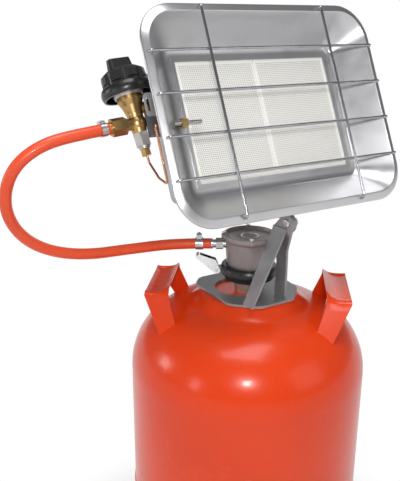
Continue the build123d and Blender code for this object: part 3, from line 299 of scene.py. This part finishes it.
@dataclass(frozen=True)
class Finish:
    """A surface with a mottled colour, an uneven gloss and a fine grain."""

    name: str
    colour: Colour
    worn: Colour
    metallic: float = 0.0
    roughness: float = 0.5
    spread: float = 0.1
    mottle: float = 30.0
    grain: float = 900.0
    stretch: tuple[float, float, float] = (1.0, 1.0, 1.0)
    depth: float = 0.00002
    coat: float = 0.0
    frame: Grain = Grain.WORLD

    def material(self) -> bpy.types.Material:
        """Builds the node material."""
        graph = Graph(self.name)
        place = graph.place(self.frame)
        patches = graph.noise(place, self.mottle).step(0.35, 0.7)
        fine = graph.noise(graph.stretch(place, self.stretch), self.grain, 4.0)
        gloss = self.roughness + (fine - 0.5) * self.spread
        graph.set(
            Base_Color=graph.blend(patches * 0.7 + fine * 0.3, self.colour, self.worn),
            Metallic=self.metallic,
            Roughness=gloss + (patches - 0.5) * (self.spread * 0.5),
            Coat_Weight=self.coat,
            Coat_Roughness=0.05,
        )
        graph.bump(fine, self.depth)
        return graph.material


@dataclass(frozen=True)
class Enamel:
    """A sprayed glossy enamel with orange peel, dust in the gloss and slightly dulled patches."""

    name: str
    colour: Colour
    deep: Colour
    peel: float = 260.0
    roughness: float = 0.24

    def material(self) -> bpy.types.Material:
        """Builds the node material."""
        graph = Graph(self.name)
        place = graph.place(Grain.WORLD)
        peel = graph.noise(place, self.peel, 2.0)
        cloud = graph.noise(place, 9.0, 2.0).step(0.3, 0.75)
        dust = graph.noise(place, 1900.0, 1.0).step(0.66, 0.8)
        graph.set(
            Base_Color=graph.blend(cloud * 0.8 + peel * 0.2, self.colour, self.deep),
            Roughness=self.roughness + cloud * 0.06 + dust * 0.12,
            Specular_IOR_Level=0.3,
            Coat_Weight=0.14,
            Coat_Roughness=0.1,
        )
        graph.bump(peel, 0.00005)
        return graph.material


@dataclass(frozen=True)
class Ceramic:
    """Pressed ceramic with rows of fine burner holes darkened by painted shade, a plain border and a plain
    seam.
    """

    name: str
    colour: Colour
    shade: Colour
    pitch: float = 0.0026
    hole: float = 0.00075
    half_width: float = 0.109
    half_height: float = 0.072
    border: float = 0.006
    edge: float = 0.0004
    seam: float = 0.0032
    # Painted shade: the dark colour laid into the burner holes, where shade falls inside them.
    hole_shade: Colour = (0.42, 0.41, 0.38)

    def inside(self, place: Sock, half: float) -> Sock:
        """Returns 1 between the plain borders and 0 on them.

        Args:
            place: the distance from the middle, in metres.
            half: half the ceramic's size in that direction.

        Returns:
            The mask's Sock.
        """
        limit = half - self.border
        return 1 - place.size().step(limit - self.edge, limit)

    def material(self) -> bpy.types.Material:
        """Builds the node material."""
        graph = Graph(self.name)
        place = graph.place(Grain.HEAD)
        sockets = {"Vector": place}
        across = graph.node("ShaderNodeSeparateXYZ", {}, sockets, "X")
        rise = graph.node("ShaderNodeSeparateXYZ", {}, sockets, "Z")
        row = self.pitch * math.sqrt(3)
        holes = None
        for shift in (0.0, 0.5):
            near_x = (across + shift * self.pitch).repeat(self.pitch)
            near_z = (rise + shift * row).repeat(row)
            spot = (near_x * near_x + near_z * near_z).power(0.5)
            dot = 1 - spot.step(self.hole * 0.7, self.hole * 1.2)
            holes = dot if holes is None else holes.larger(dot)
        seam = across.size().step(self.seam, self.seam + self.edge)
        inside_x = self.inside(across, self.half_width)
        holes = holes * inside_x * self.inside(rise, self.half_height) * seam
        chalk = graph.noise(place, 220.0, 5.0)
        cloud = graph.noise(place, 22.0, 2.0).step(0.3, 0.8)
        base = graph.blend(cloud * 0.6 + chalk * 0.4, self.colour, self.shade)
        graph.set(
            # The burner holes are painted with the hole shade colour: painted shade in the recesses.
            Base_Color=graph.blend(holes * 0.8, base, self.hole_shade),
            Roughness=0.86 + chalk * 0.1,
        )
        graph.bump((1 - holes) * 0.85 + chalk * 0.15, 0.0006)
        return graph.material


@dataclass(frozen=True)
class BrushedSheet:
    """Brushed stainless sheet: fine straight scratches, a few deeper ones and faint handling marks."""

    name: str
    colour: Colour
    worn: Colour
    roughness: float = 0.3
    frame: Grain = Grain.HEAD

    def material(self) -> bpy.types.Material:
        """Builds the node material."""
        graph = Graph(self.name)
        place = graph.place(self.frame)
        fine = graph.noise(graph.stretch(place, (0.02, 1.0, 1.0)), 5200.0, 3.0)
        coarse = graph.noise(graph.stretch(place, (0.03, 1.0, 1.0)), 900.0, 2.0)
        marks = graph.noise(place, 24.0, 3.0).step(0.45, 0.75)
        brush = fine * 0.6 + coarse * 0.4
        graph.set(
            Base_Color=graph.blend(brush * 0.6 + marks * 0.4, self.colour, self.worn),
            Metallic=1.0,
            Roughness=self.roughness + (brush - 0.5) * 0.16 + marks * 0.07,
        )
        graph.bump(brush, 0.00002)
        return graph.material


FINISHES: dict[str, object] = {
    "orange_paint": Enamel("orange_paint", (0.80, 0.056, 0.006), (0.73, 0.048, 0.005)),
    "valve_metal": Finish(
        "valve_metal", (0.58, 0.52, 0.42), (0.46, 0.41, 0.34), 0.85, 0.42, 0.16, 60.0, 1500.0,
        stretch=(0.15, 0.15, 1.0),
    ),
    "black_rubber": Finish("black_rubber", (0.022, 0.022, 0.022), (0.04, 0.04, 0.04), 0.0, 0.7, 0.15),
    "grey_zinc": Finish(
        "grey_zinc", (0.27, 0.275, 0.28), (0.35, 0.355, 0.36), 0.55, 0.46, 0.16, 45.0, 700.0,
        depth=0.00003,
    ),
    "zinc_hardware": Finish("zinc_hardware", (0.62, 0.63, 0.65), (0.48, 0.48, 0.48), 1.0, 0.3, 0.14, 90.0),
    "taupe_enamel": Finish(
        "taupe_enamel", (0.29, 0.25, 0.25), (0.24, 0.205, 0.205), 0.3, 0.42, 0.14, 35.0, 800.0,
        depth=0.00004,
    ),
    "black_plastic": Finish(
        "black_plastic", (0.008, 0.008, 0.009), (0.016, 0.016, 0.017), 0.0, 0.34, 0.16, 40.0, 1400.0,
        depth=0.00003,
    ),
    "lever_chrome": Finish("lever_chrome", (0.80, 0.80, 0.82), (0.66, 0.66, 0.68), 1.0, 0.14, 0.1, 60.0),
    "brass": Finish("brass", (0.56, 0.37, 0.15), (0.40, 0.26, 0.11), 1.0, 0.36, 0.14, 70.0, 1200.0),
    "copper": Finish("copper", (0.72, 0.36, 0.20), (0.50, 0.24, 0.13), 1.0, 0.3, 0.14, 70.0, 1200.0),
    "reflector_steel": BrushedSheet("reflector_steel", (0.60, 0.60, 0.61), (0.50, 0.50, 0.51)),
    "polished_wire": Finish("polished_wire", (0.46, 0.46, 0.48), (0.36, 0.36, 0.38), 1.0, 0.16, 0.1, 80.0),
    "dull_steel": Finish("dull_steel", (0.56, 0.56, 0.56), (0.44, 0.44, 0.43), 0.9, 0.4, 0.16, 60.0, 1500.0),
    "box_steel": BrushedSheet("box_steel", (0.46, 0.47, 0.49), (0.38, 0.39, 0.41), 0.42),
    "dark_steel": Finish("dark_steel", (0.05, 0.05, 0.055), (0.08, 0.08, 0.085), 0.4, 0.5, 0.15),
    "ceramic": Ceramic("ceramic", (0.93, 0.92, 0.88), (0.88, 0.87, 0.82)),
    "fibre": Finish(
        "fibre", (0.72, 0.70, 0.64), (0.58, 0.56, 0.50), 0.0, 0.95, 0.05, 80.0, 600.0, depth=0.0002
    ),
    "hose_rubber": Finish(
        "hose_rubber", (0.84, 0.085, 0.022), (0.74, 0.070, 0.016), 0.0, 0.42, 0.12, 30.0, 1100.0, coat=0.1
    ),
}


class Wardrobe:
    """Makes each finish once and puts it on pieces."""

    def __init__(self) -> None:
        """Starts with nothing made."""
        self.made: dict[str, bpy.types.Material] = {}

    def material(self, slot: str) -> bpy.types.Material:
        """Returns a slot's material, made on its first use.

        Args:
            slot: the material slot's name.

        Returns:
            The material.
        """
        if slot not in self.made:
            self.made[slot] = FINISHES[slot].material()
        return self.made[slot]

    def dress(self, piece: bpy.types.Object, slot: str) -> None:
        """Puts one finish on all of a piece.

        Args:
            piece: the object.
            slot: the material slot's name.
        """
        if not piece.data.materials:
            piece.data.materials.append(None)
        for index in range(len(piece.material_slots)):
            piece.material_slots[index].material = self.material(slot)


WARDROBE = Wardrobe()


def pick(piece: bpy.types.Object | None = None) -> None:
    """Selects one object and nothing else.

    Args:
        piece: the object, or nothing to leave all of them deselected.
    """
    bpy.ops.object.select_all(action="DESELECT")
    if piece:
        bpy.context.view_layer.objects.active = piece
        piece.select_set(True)


def settle(piece: bpy.types.Object, name: str, body: str, slot: str, *nodes: str) -> bpy.types.Object:
    """Finishes a new piece: its place goes into its mesh, then it rides, is dressed and replaces its nodes.

    Args:
        piece: the new object.
        name: its name.
        body: the body that it moves with, or nothing for a piece that is attached to no body.
        slot: the material slot that it takes its finish from.
        nodes: the CAD nodes that it stands for.

    Returns:
        The piece.
    """
    pick()
    piece.data.transform(piece.matrix_world)
    piece.matrix_world = Matrix.Identity(4)
    piece.name = name
    piece.data.name = name
    WARDROBE.dress(piece, slot)
    if body:
        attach(piece, body)
    if nodes:
        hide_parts(*nodes)
    log.info("%s made, %d faces, rides on %s", name, len(piece.data.polygons), body or "two bodies")
    return piece


def apply_modifiers(piece: bpy.types.Object) -> None:
    """Applies every modifier on a piece, in order."""
    pick(piece)
    for modifier in list(piece.modifiers):
        bpy.ops.object.modifier_apply(modifier=modifier.name)


def outward(piece: bpy.types.Object, angle: float = 35.0) -> None:
    """Merges doubles, turns the faces outwards and shades them.

    Args:
        piece: the object.
        angle: the angle in degrees under which two faces are shaded as one.
    """
    pick(piece)
    bpy.ops.object.mode_set(mode="EDIT")
    bpy.ops.mesh.select_all(action="SELECT")
    bpy.ops.mesh.remove_doubles(threshold=1e-7)
    bpy.ops.mesh.normals_make_consistent(inside=False)
    bpy.ops.object.mode_set(mode="OBJECT")
    bpy.ops.object.shade_smooth_by_angle(angle=math.radians(angle))


def rounded_ring(half_width: float, half_height: float, corner: float, behind: float) -> list[Vector]:
    """Gives the points of a rounded rectangle across the head.

    Args:
        half_width: half its width in millimetres.
        half_height: half its height.
        corner: its corner radius.
        behind: its place behind the flange.

    Returns:
        The points in the model's frame, in metres.
    """
    corners = []
    for quarter, (sign_x, sign_y) in enumerate(((1, 1), (-1, 1), (-1, -1), (1, -1))):
        arc = []
        for index in range(CORNER_STEPS + 1):
            angle = math.pi / 2 * (quarter + index / CORNER_STEPS)
            across = sign_x * (half_width - corner) + corner * math.cos(angle)
            rise = sign_y * (half_height - corner) + corner * math.sin(angle)
            arc.append(head_point(across, rise, behind))
        corners.append(arc)
    points = []
    for arc, following in zip(corners, corners[1:] + corners[:1]):
        sides = [arc[-1].lerp(following[0], share / SIDE_STEPS) for share in range(1, SIDE_STEPS)]
        points += arc + sides
    return points


def round_ring(radius: float, height: float, count: int) -> list[Vector]:
    """Gives the points of a level circle about the cylinder's axis.

    Args:
        radius: its radius in millimetres.
        height: its height over the floor.
        count: how many points it has.

    Returns:
        The points in the model's frame, in metres.
    """
    turn = 2 * math.pi / count
    flat = [(radius * math.cos(i * turn), radius * math.sin(i * turn), height) for i in range(count)]
    return [Vector(point) * MM for point in flat]


def skin(rings: list[list[Vector]], first: bool = False, last: bool = False) -> bpy.types.Object:
    """Extrudes a circle's edge from ring to ring.

    Args:
        rings: lists of as many points each.
        first: whether the first ring is filled.
        last: whether the last ring is filled.

    Returns:
        The new object, in the model's frame.
    """
    pick()
    bpy.ops.mesh.primitive_circle_add(vertices=len(rings[0]), radius=1.0, fill_type="NOTHING")
    piece = bpy.context.object
    for vertex, point in zip(piece.data.vertices, rings[0]):
        vertex.co = point
    bpy.ops.object.mode_set(mode="EDIT")
    bpy.ops.mesh.select_all(action="SELECT")
    if first:
        bpy.ops.mesh.edge_face_add()
        mesh = bmesh.from_edit_mesh(piece.data)
        for face in mesh.faces:
            face.select_set(False)
        for edge in mesh.edges:
            edge.select_set(True)
        bmesh.update_edit_mesh(piece.data)
    count = len(rings[0])
    for ring in rings[1:]:
        bpy.ops.mesh.extrude_edges_move()
        mesh = bmesh.from_edit_mesh(piece.data)
        mesh.verts.ensure_lookup_table()
        fresh = [vertex for vertex in mesh.verts if vertex.select]
        fresh.sort(key=lambda vertex: vertex.index)
        for vertex, point in zip(fresh[-count:], ring):
            vertex.co = point
        bmesh.update_edit_mesh(piece.data)
    if last:
        bpy.ops.mesh.edge_face_add()
    bpy.ops.object.mode_set(mode="OBJECT")
    return piece


@dataclass
class ReflectorPan:
    """The pressed steel pan, with its rolled flange, four sloping walls and a floor round the tiles."""

    sheet: float = 1.2
    sections: tuple[tuple[float, float, float, float], ...] = (
        (159.3, 123.3, 42.8, 6.2),
        (159.5, 123.5, 43.0, 4.8),
        (159.2, 123.2, 42.7, 4.0),
        (158.5, 122.5, 42.0, 3.5),
        (156.0, 119.6, 39.6, 2.3),
        (153.4, 116.6, 37.2, 1.1),
        (151.9, 115.0, 35.9, 0.45),
        (151.1, 114.2, 35.0, 0.25),
        (150.5, 113.7, 34.5, 0.5),
        (149.9, 113.2, 34.0, 1.2),
        (141.9, 105.7, 28.6, 10.6),
        (134.5, 98.7, 23.2, 19.4),
        (127.1, 91.7, 17.8, 28.2),
        (121.0, 85.9, 13.4, 35.3),
        (120.0, 84.9, 12.6, 36.3),
        (118.6, 83.6, 11.8, 37.0),
        (113.0, 77.0, 4.0, 37.0),
        (109.6, 72.6, 1.0, 37.0),
    )

    def build(self) -> None:
        """Models the pan and stands it for its node."""
        piece = skin([rounded_ring(*section) for section in self.sections])
        outward(piece)
        facing = Vector((0, 0, 0))
        for face in piece.data.polygons:
            facing += face.normal * face.area
        if facing.dot(BEHIND) > 0:
            piece.data.flip_normals()
        wall = piece.modifiers.new("wall", "SOLIDIFY")
        wall.thickness = self.sheet * MM
        wall.offset = -1.0
        apply_modifiers(piece)
        bpy.ops.object.shade_smooth_by_angle(angle=math.radians(40))
        settle(piece, "pressed_reflector", "head", "reflector_steel", "reflector_pan")


def arc_points(
    centre: SectionPoint, radius: float, start: float, end: float, steps: int
) -> list[SectionPoint]:
    """Gives points on an arc in a half section.

    Args:
        centre: the arc's centre, as reach and height.
        radius: its radius.
        start: the first angle, in radians from the reach's direction.
        end: the last angle.
        steps: how many pieces it is cut into.

    Returns:
        The points, with both ends.
    """
    angles = [start + (end - start) * index / steps for index in range(steps + 1)]
    return [(centre[0] + radius * math.cos(angle), centre[1] + radius * math.sin(angle)) for angle in angles]


@dataclass
class ShellDome:
    """The cylinder's turned upper half: wall, knuckle, shallow crown and soft rise to the seat."""

    radius: float = 150.0
    sheet: float = 2.6
    knuckle: float = 85.0
    crown: float = 290.0
    spring: float = 360.58
    seam: float = 186.08
    seat_top: float = 461.16
    seat_radius: float = 59.0
    seat_foot: float = 80.0
    bore: float = 22.0
    rise_power: float = 1.5
    rise_steps: int = 14
    segments: int = 160

    def outline(self) -> list[SectionPoint]:
        """Draws the closed half section, outside first.

        Returns:
            Its points, each as reach and height in millimetres.
        """
        hub = self.radius - self.knuckle
        crown_centre = self.spring - math.sqrt((self.crown - self.knuckle) ** 2 - hub**2)
        meet = math.acos(hub / (self.crown - self.knuckle))

        def crown_at(reach: float, depth: float = 0.0) -> SectionPoint:
            """Returns the crown's point at a reach, at a depth under its outside."""
            return (reach, crown_centre + math.sqrt((self.crown - depth) ** 2 - reach**2))

        points = [(self.radius, self.seam), (self.radius, self.seam + 2.0), (self.radius, self.spring - 4.0)]
        points += arc_points((hub, self.spring), self.knuckle, 0.0, meet, 22)
        edge = points[-1][0]
        points += [crown_at(edge + (self.seat_foot - edge) * index / 3) for index in range(1, 4)]
        full_rise = self.seat_top - crown_at(self.seat_radius)[1]
        for index in range(1, self.rise_steps + 1):
            share = index / self.rise_steps
            reach = self.seat_foot + (self.seat_radius - self.seat_foot) * share
            rise = full_rise * (0.5 - 0.5 * math.cos(math.pi * share**self.rise_power))
            points.append((reach, crown_at(reach)[1] + rise))
        points += [(self.seat_radius - 2.0, self.seat_top), (self.bore, self.seat_top)]
        inner_edge = edge * (self.crown - self.sheet) / self.crown
        inner_run = inner_edge - self.bore
        points += [crown_at(self.bore + inner_run * index / 6, self.sheet) for index in range(7)]
        points += arc_points((hub, self.spring), self.knuckle - self.sheet, meet, 0.0, 12)[1:]
        points += [(self.radius - self.sheet, self.seam), (self.radius, self.seam)]
        return points

    def build(self) -> None:
        """Turns the dome and stands it for its node."""
        piece = skin([round_ring(reach, height, self.segments) for reach, height in self.outline()])
        outward(piece, 40)
        settle(piece, "turned_dome", "cylinder", "orange_paint", "upper_shell")


@dataclass
class LiftingHandle:
    """A handle bent from one strip: a dished grip, two rounded knees and two straps down to the crown."""

    name: str
    node: str
    azimuth: float
    reach: float = 110.0
    width: float = 30.0
    sheet: float = 3.0
    dish: float = 5.0
    slant: float = 8.0
    lift: float = 7.5
    grip_half: float = 41.0
    knee: float = 9.0
    strap_slope: float = math.radians(69.0)
    strap_length: float = 51.0
    foot_reach: float = 91.0
    foot_width: float = 23.0
    edge_radius: float = 0.7
    across: int = 12

    def stations(self) -> list[Station]:
        """Draws half of the strip's line, from the grip's middle to the strap's foot.

        Returns:
            Its places: along, height, turn of the surface and share of the strap passed.
        """
        line = [(self.grip_half * index / 6, self.lift, 0.0, 0.0) for index in range(7)]
        for index in range(1, 11):
            turn = self.strap_slope * index / 10
            along = self.grip_half + self.knee * math.sin(turn)
            line.append((along, self.lift - self.knee * (1 - math.cos(turn)), turn, 0.0))
        along, height, turn, _ = line[-1]
        for index in range(1, 7):
            run = self.strap_length * index / 6
            line.append((along + run * math.cos(turn), height - run * math.sin(turn), turn, index / 6))
        return line

    def ring(self, station: Station, side: int) -> list[Vector]:
        """Gives the strip's closed section at a station.

        Args:
            station: its place on the strip's line.
            side: 1 or -1 for the side of the grip's middle.

        Returns:
            The points in the model's frame, in metres.
        """
        along, height, turn, passed = station
        azimuth = math.radians(self.azimuth)
        out = Vector((math.cos(azimuth), math.sin(azimuth), 0.0))
        aside = Vector((-math.sin(azimuth), math.cos(azimuth), 0.0)) * side
        normal = aside * math.sin(turn) + Vector((0, 0, 1)) * math.cos(turn)
        form = 1 - min(1.0, turn / self.strap_slope) ** 0.8
        middle = self.reach + (self.foot_reach - self.reach) * passed
        width = self.width + (self.foot_width - self.width) * passed
        base = aside * along + Vector((0, 0, height))
        upper, lower = [], []
        for index in range(self.across + 1):
            share = 2 * index / self.across - 1
            bow = form * (-share * self.slant / 2 - self.dish * (1 - share**2))
            place = base + out * (middle + share * width / 2) + normal * bow
            upper.append(place + normal * self.sheet / 2)
            lower.append(place - normal * self.sheet / 2)
        ring = upper + lower[::-1]
        return [point * MM + Vector((0, 0, PLATE_TOP)) for point in ring]

    def build(self) -> None:
        """Sweeps the strip, rounds its edges and stands it for its node."""
        half = self.stations()
        rings = [self.ring(station, -1) for station in half[:0:-1]]
        rings += [self.ring(station, 1) for station in half]
        piece = skin(rings, first=True, last=True)
        outward(piece, 30)
        edges = piece.modifiers.new("edges", "BEVEL")
        edges.width = self.edge_radius * MM
        edges.segments = 2
        edges.limit_method = "ANGLE"
        edges.angle_limit = math.radians(50)
        apply_modifiers(piece)
        bpy.ops.object.shade_smooth_by_angle(angle=math.radians(35))
        settle(piece, self.name, "cylinder", "orange_paint", self.node)


@dataclass
class RegulatorHousing:
    """The die-cast cup with its flared rim, four screw ears and the sunk lid with a raised middle."""

    azimuth: float = 148.8
    ears: int = 4
    ear_spread: float = 0.12
    segments: int = 144
    outline: tuple[tuple[float, float, float], ...] = (
        (22.0, 30.3, 0.0),
        (27.0, 30.3, 0.0),
        (27.8, 30.7, 0.0),
        (28.1, 31.6, 0.0),
        (28.6, 37.0, 0.0),
        (29.3, 46.0, 0.0),
        (30.0, 55.0, 0.0),
        (30.4, 60.0, 0.2),
        (30.8, 62.2, 0.8),
        (31.7, 63.6, 1.6),
        (32.6, 64.3, 2.1),
        (33.0, 65.2, 2.2),
        (33.1, 67.6, 2.2),
        (32.9, 69.8, 2.2),
        (32.3, 70.8, 2.0),
        (31.6, 71.0, 1.6),
        (30.7, 71.0, -2.2),
        (29.9, 70.6, -2.8),
        (29.5, 69.6, -3.0),
        (29.2, 68.0, -3.0),
        (28.4, 67.4, -3.0),
        (20.0, 67.3, 0.0),
        (10.5, 67.6, 0.0),
        (8.6, 68.6, 0.0),
        (6.0, 70.0, 0.0),
        (3.0, 70.7, 0.0),
        (0.4, 70.9, 0.0),
    )

    def ring(self, reach: float, height: float, ear: float) -> list[Vector]:
        """Gives one ring of the housing.

        Args:
            reach: its radius in millimetres.
            height: its height over the plate.
            ear: how far it is pushed out at the screw ears, or in where that is under 0.

        Returns:
            The points in the model's frame, in metres.
        """
        points = []
        for index in range(self.segments):
            angle = 2 * math.pi * index / self.segments
            pitch = 2 * math.pi / self.ears
            off = (angle - math.radians(self.azimuth) + pitch / 2) % pitch - pitch / 2
            push = ear * math.exp(-((off / self.ear_spread) ** 2))
            out = Vector((math.cos(angle), math.sin(angle), 0.0)) * (reach + push)
            points.append((out + Vector((0, 0, height))) * MM + Vector((0, 0, PLATE_TOP)))
        return points

    def build(self) -> None:
        """Casts the housing and stands it for the cup and the cover."""
        piece = skin([self.ring(*step) for step in self.outline], first=True, last=True)
        outward(piece, 50)
        settle(piece, "regulator_housing", "bracket", "taupe_enamel", "regulator_cup", "regulator_cover")


@dataclass
class GasHose:
    """The orange hose: one loop from the regulator's tail to the control valve's inlet."""

    diameter: float = 0.013
    length: float = 0.435
    points: tuple[tuple[float, float, float], ...] = (
        (-0.04106, 0.02487, 0.52136),
        (-0.0787, 0.0477, 0.52136),
        (-0.138, 0.057, 0.52136),
        (-0.193, 0.058, 0.52336),
        (-0.237, 0.055, 0.53636),
        (-0.268, 0.050, 0.55836),
        (-0.285, 0.044, 0.58736),
        (-0.287, 0.037, 0.61736),
        (-0.276, 0.029, 0.64436),
        (-0.252, 0.023, 0.66236),
        (-0.22094, 0.02103, 0.67034),
        (-0.17366, 0.02292, 0.67448),
    )
    bend_start: tuple[float, float, float] = (-0.200, 0.050, 0.521)
    bend_end: tuple[float, float, float] = (-0.230, 0.020, 0.655)

    def spline(self) -> bpy.types.Object:
        """Draws the hose's centreline as one smooth curve.

        Returns:
            The curve's object.
        """
        curve = bpy.data.curves.new("hose_line", "CURVE")
        curve.dimensions = "3D"
        curve.resolution_u = 16
        line = curve.splines.new("NURBS")
        line.points.add(len(self.points) - 1)
        for place, point in zip(line.points, self.points):
            place.co = (*point, 1.0)
        line.order_u = 3
        line.use_endpoint_u = True
        drawn = bpy.data.objects.new("hose_line", curve)
        bpy.context.scene.collection.objects.link(drawn)
        bpy.context.view_layer.update()
        return drawn

    def build(self) -> None:
        drawn = self.spline()
        seen = bpy.data.meshes.new_from_object(drawn.evaluated_get(bpy.context.evaluated_depsgraph_get()))
        path = [vertex.co.copy() for vertex in seen.vertices]
        length = sum((a - b).length for a, b in zip(path, path[1:]))
        log.info("hose line is %.4f m long", length)
        drawn.data.bevel_depth = self.diameter / 2
        drawn.data.bevel_resolution = 8
        drawn.data.use_fill_caps = True
        pick(drawn)
        bpy.ops.object.convert(target="MESH")
        tube = bpy.context.object
        outward(tube, 60)
        settle(tube, "orange_hose", "", "hose_rubber", "gas_hose")
        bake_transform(tube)


@dataclass
class Studio:
    """The pale floor, the soft lights, the white surroundings and the camera."""

    camera_place: tuple[float, float, float] = (-0.4638, -0.6460, 0.7882)
    heading: float = math.radians(31.221)
    pitch: float = math.radians(18.358)
    roll: float = math.radians(0.2)
    focal: float = 50.24
    floor_size: float = 30.0
    floor_drop: float = 0.0004
    fade_start: float = 0.15
    fade_end: float = 0.36
    soft_colour: Colour = (0.98, 0.98, 1.0)
    soft_strength: float = 0.21
    aim: tuple[float, float, float] = (0.0, 0.0, 0.45)
    lamps: tuple[tuple[str, tuple[float, float, float], tuple[float, float], float], ...] = (
        ("key_panel", (-0.65, -0.95, 1.02), (0.13, 0.13), 6.5),
        ("left_panel", (-1.67, -0.23, 0.78), (0.25, 0.45), 2.0),
        ("rear_left_panel", (-1.40, 0.85, 0.84), (0.35, 0.35), 3.6),
        ("front_panel", (0.9, -1.8, 1.3), (1.2, 1.2), 5.0),
        ("top_panel", (-0.2, -0.2, 2.2), (1.0, 1.0), 17.0),
        ("back_panel", (1.5, 1.3, 0.9), (1.2, 1.0), 4.0),
    )

    def camera(self) -> None:
        """Puts the camera where the photograph was taken from."""
        ahead = Vector((math.sin(self.heading), math.cos(self.heading), 0.0))
        look = ahead * math.cos(self.pitch) - Vector((0, 0, 1)) * math.sin(self.pitch)
        data = bpy.data.cameras.new("camera")
        data.lens = self.focal
        data.sensor_width = 36.0
        data.sensor_fit = "AUTO"
        data.clip_start = 0.05
        holder = bpy.data.objects.new("camera", data)
        turn = look.to_track_quat("-Z", "Y").to_matrix().to_4x4() @ Matrix.Rotation(self.roll, 4, "Z")
        holder.matrix_world = Matrix.Translation(Vector(self.camera_place)) @ turn
        bpy.context.scene.collection.objects.link(holder)
        bpy.context.scene.camera = holder

    def floor(self) -> None:
        """Lays a pale floor that fades into the white surroundings away from the heater."""
        pick()
        bpy.ops.mesh.primitive_plane_add(size=self.floor_size, location=(0, 0, -self.floor_drop))
        ground = bpy.context.object
        ground.name = "studio_floor"
        graph = Graph("studio_floor")
        place = graph.node("ShaderNodeTexCoord", {}, {}, "Object")
        reach = graph.node("ShaderNodeVectorMath", {"operation": "LENGTH"}, {0: place}, "Value")
        rays = ("Is Camera Ray", "Is Glossy Ray", "Is Transmission Ray")
        camera, glossy, through = (graph.node("ShaderNodeLightPath", {}, {}, ray) for ray in rays)
        seen = camera.larger(glossy).larger(through)
        graph.set(Base_Color=(0.93, 0.93, 0.93), Roughness=0.85)
        glow = graph.node("ShaderNodeEmission", {}, {"Color": (1.0, 1.0, 1.0), "Strength": 1.0})
        away = reach.step(self.fade_start, self.fade_end) * seen
        paint = Sock(graph, graph.shader.outputs[0])
        mixed = graph.node("ShaderNodeMixShader", {}, {0: away, 1: paint, 2: glow})
        graph.put(graph.tree.nodes["Material Output"].inputs["Surface"], mixed)
        ground.data.materials.append(graph.material)

    def world(self) -> None:
        """Surrounds the scene with even light that the camera sees as white."""
        world = bpy.data.worlds.new("studio")
        bpy.context.scene.world = world
        world.use_nodes = True
        tree = world.node_tree
        tree.nodes.clear()
        light = tree.nodes.new("ShaderNodeLightPath")
        larger = tree.nodes.new("ShaderNodeMath")
        larger.operation = "MAXIMUM"
        tree.links.new(light.outputs["Is Camera Ray"], larger.inputs[0])
        tree.links.new(light.outputs["Is Transmission Ray"], larger.inputs[1])
        soft = tree.nodes.new("ShaderNodeBackground")
        soft.inputs["Color"].default_value = (*self.soft_colour, 1.0)
        soft.inputs["Strength"].default_value = self.soft_strength
        white = tree.nodes.new("ShaderNodeBackground")
        white.inputs["Color"].default_value = (1.0, 1.0, 1.0, 1.0)
        white.inputs["Strength"].default_value = 1.0
        mix = tree.nodes.new("ShaderNodeMixShader")
        out = tree.nodes.new("ShaderNodeOutputWorld")
        tree.links.new(larger.outputs[0], mix.inputs[0])
        tree.links.new(soft.outputs[0], mix.inputs[1])
        tree.links.new(white.outputs[0], mix.inputs[2])
        tree.links.new(mix.outputs[0], out.inputs["Surface"])

    def lights(self) -> None:
        """Hangs the soft panels, each turned to the heater."""
        for name, place, size, power in self.lamps:
            data = bpy.data.lights.new(name, "AREA")
            data.shape = "RECTANGLE"
            data.size, data.size_y = size
            data.energy = power
            lamp = bpy.data.objects.new(name, data)
            aim = Vector(self.aim) - Vector(place)
            turn = aim.to_track_quat("-Z", "Y").to_matrix().to_4x4()
            lamp.matrix_world = Matrix.Translation(Vector(place)) @ turn
            bpy.context.scene.collection.objects.link(lamp)

    def build(self) -> None:
        """Sets up the whole studio."""
        self.camera()
        self.floor()
        self.world()
        self.lights()
        bpy.context.scene.view_settings.view_transform = "Standard"


def dress_nodes() -> None:
    """Puts the record's finishes on the CAD nodes that stay in view."""
    for part in frame["record"]["subparts"]:
        slot = "reflector_steel" if part["node"] == "tile_frame" else part["material_slot"]
        WARDROBE.dress(frame["nodes"][part["node"]], slot)


def main() -> None:
    """Builds the studio, dresses the nodes and models the detailed pieces."""
    Studio().build()
    dress_nodes()
    ShellDome().build()
    LiftingHandle("bent_handle_right", "handle_right", -37.6).build()
    LiftingHandle("bent_handle_left", "handle_left", 142.4).build()
    RegulatorHousing().build()
    GasHose().build()
    ReflectorPan().build()


if __name__ == "__main__":
    main()
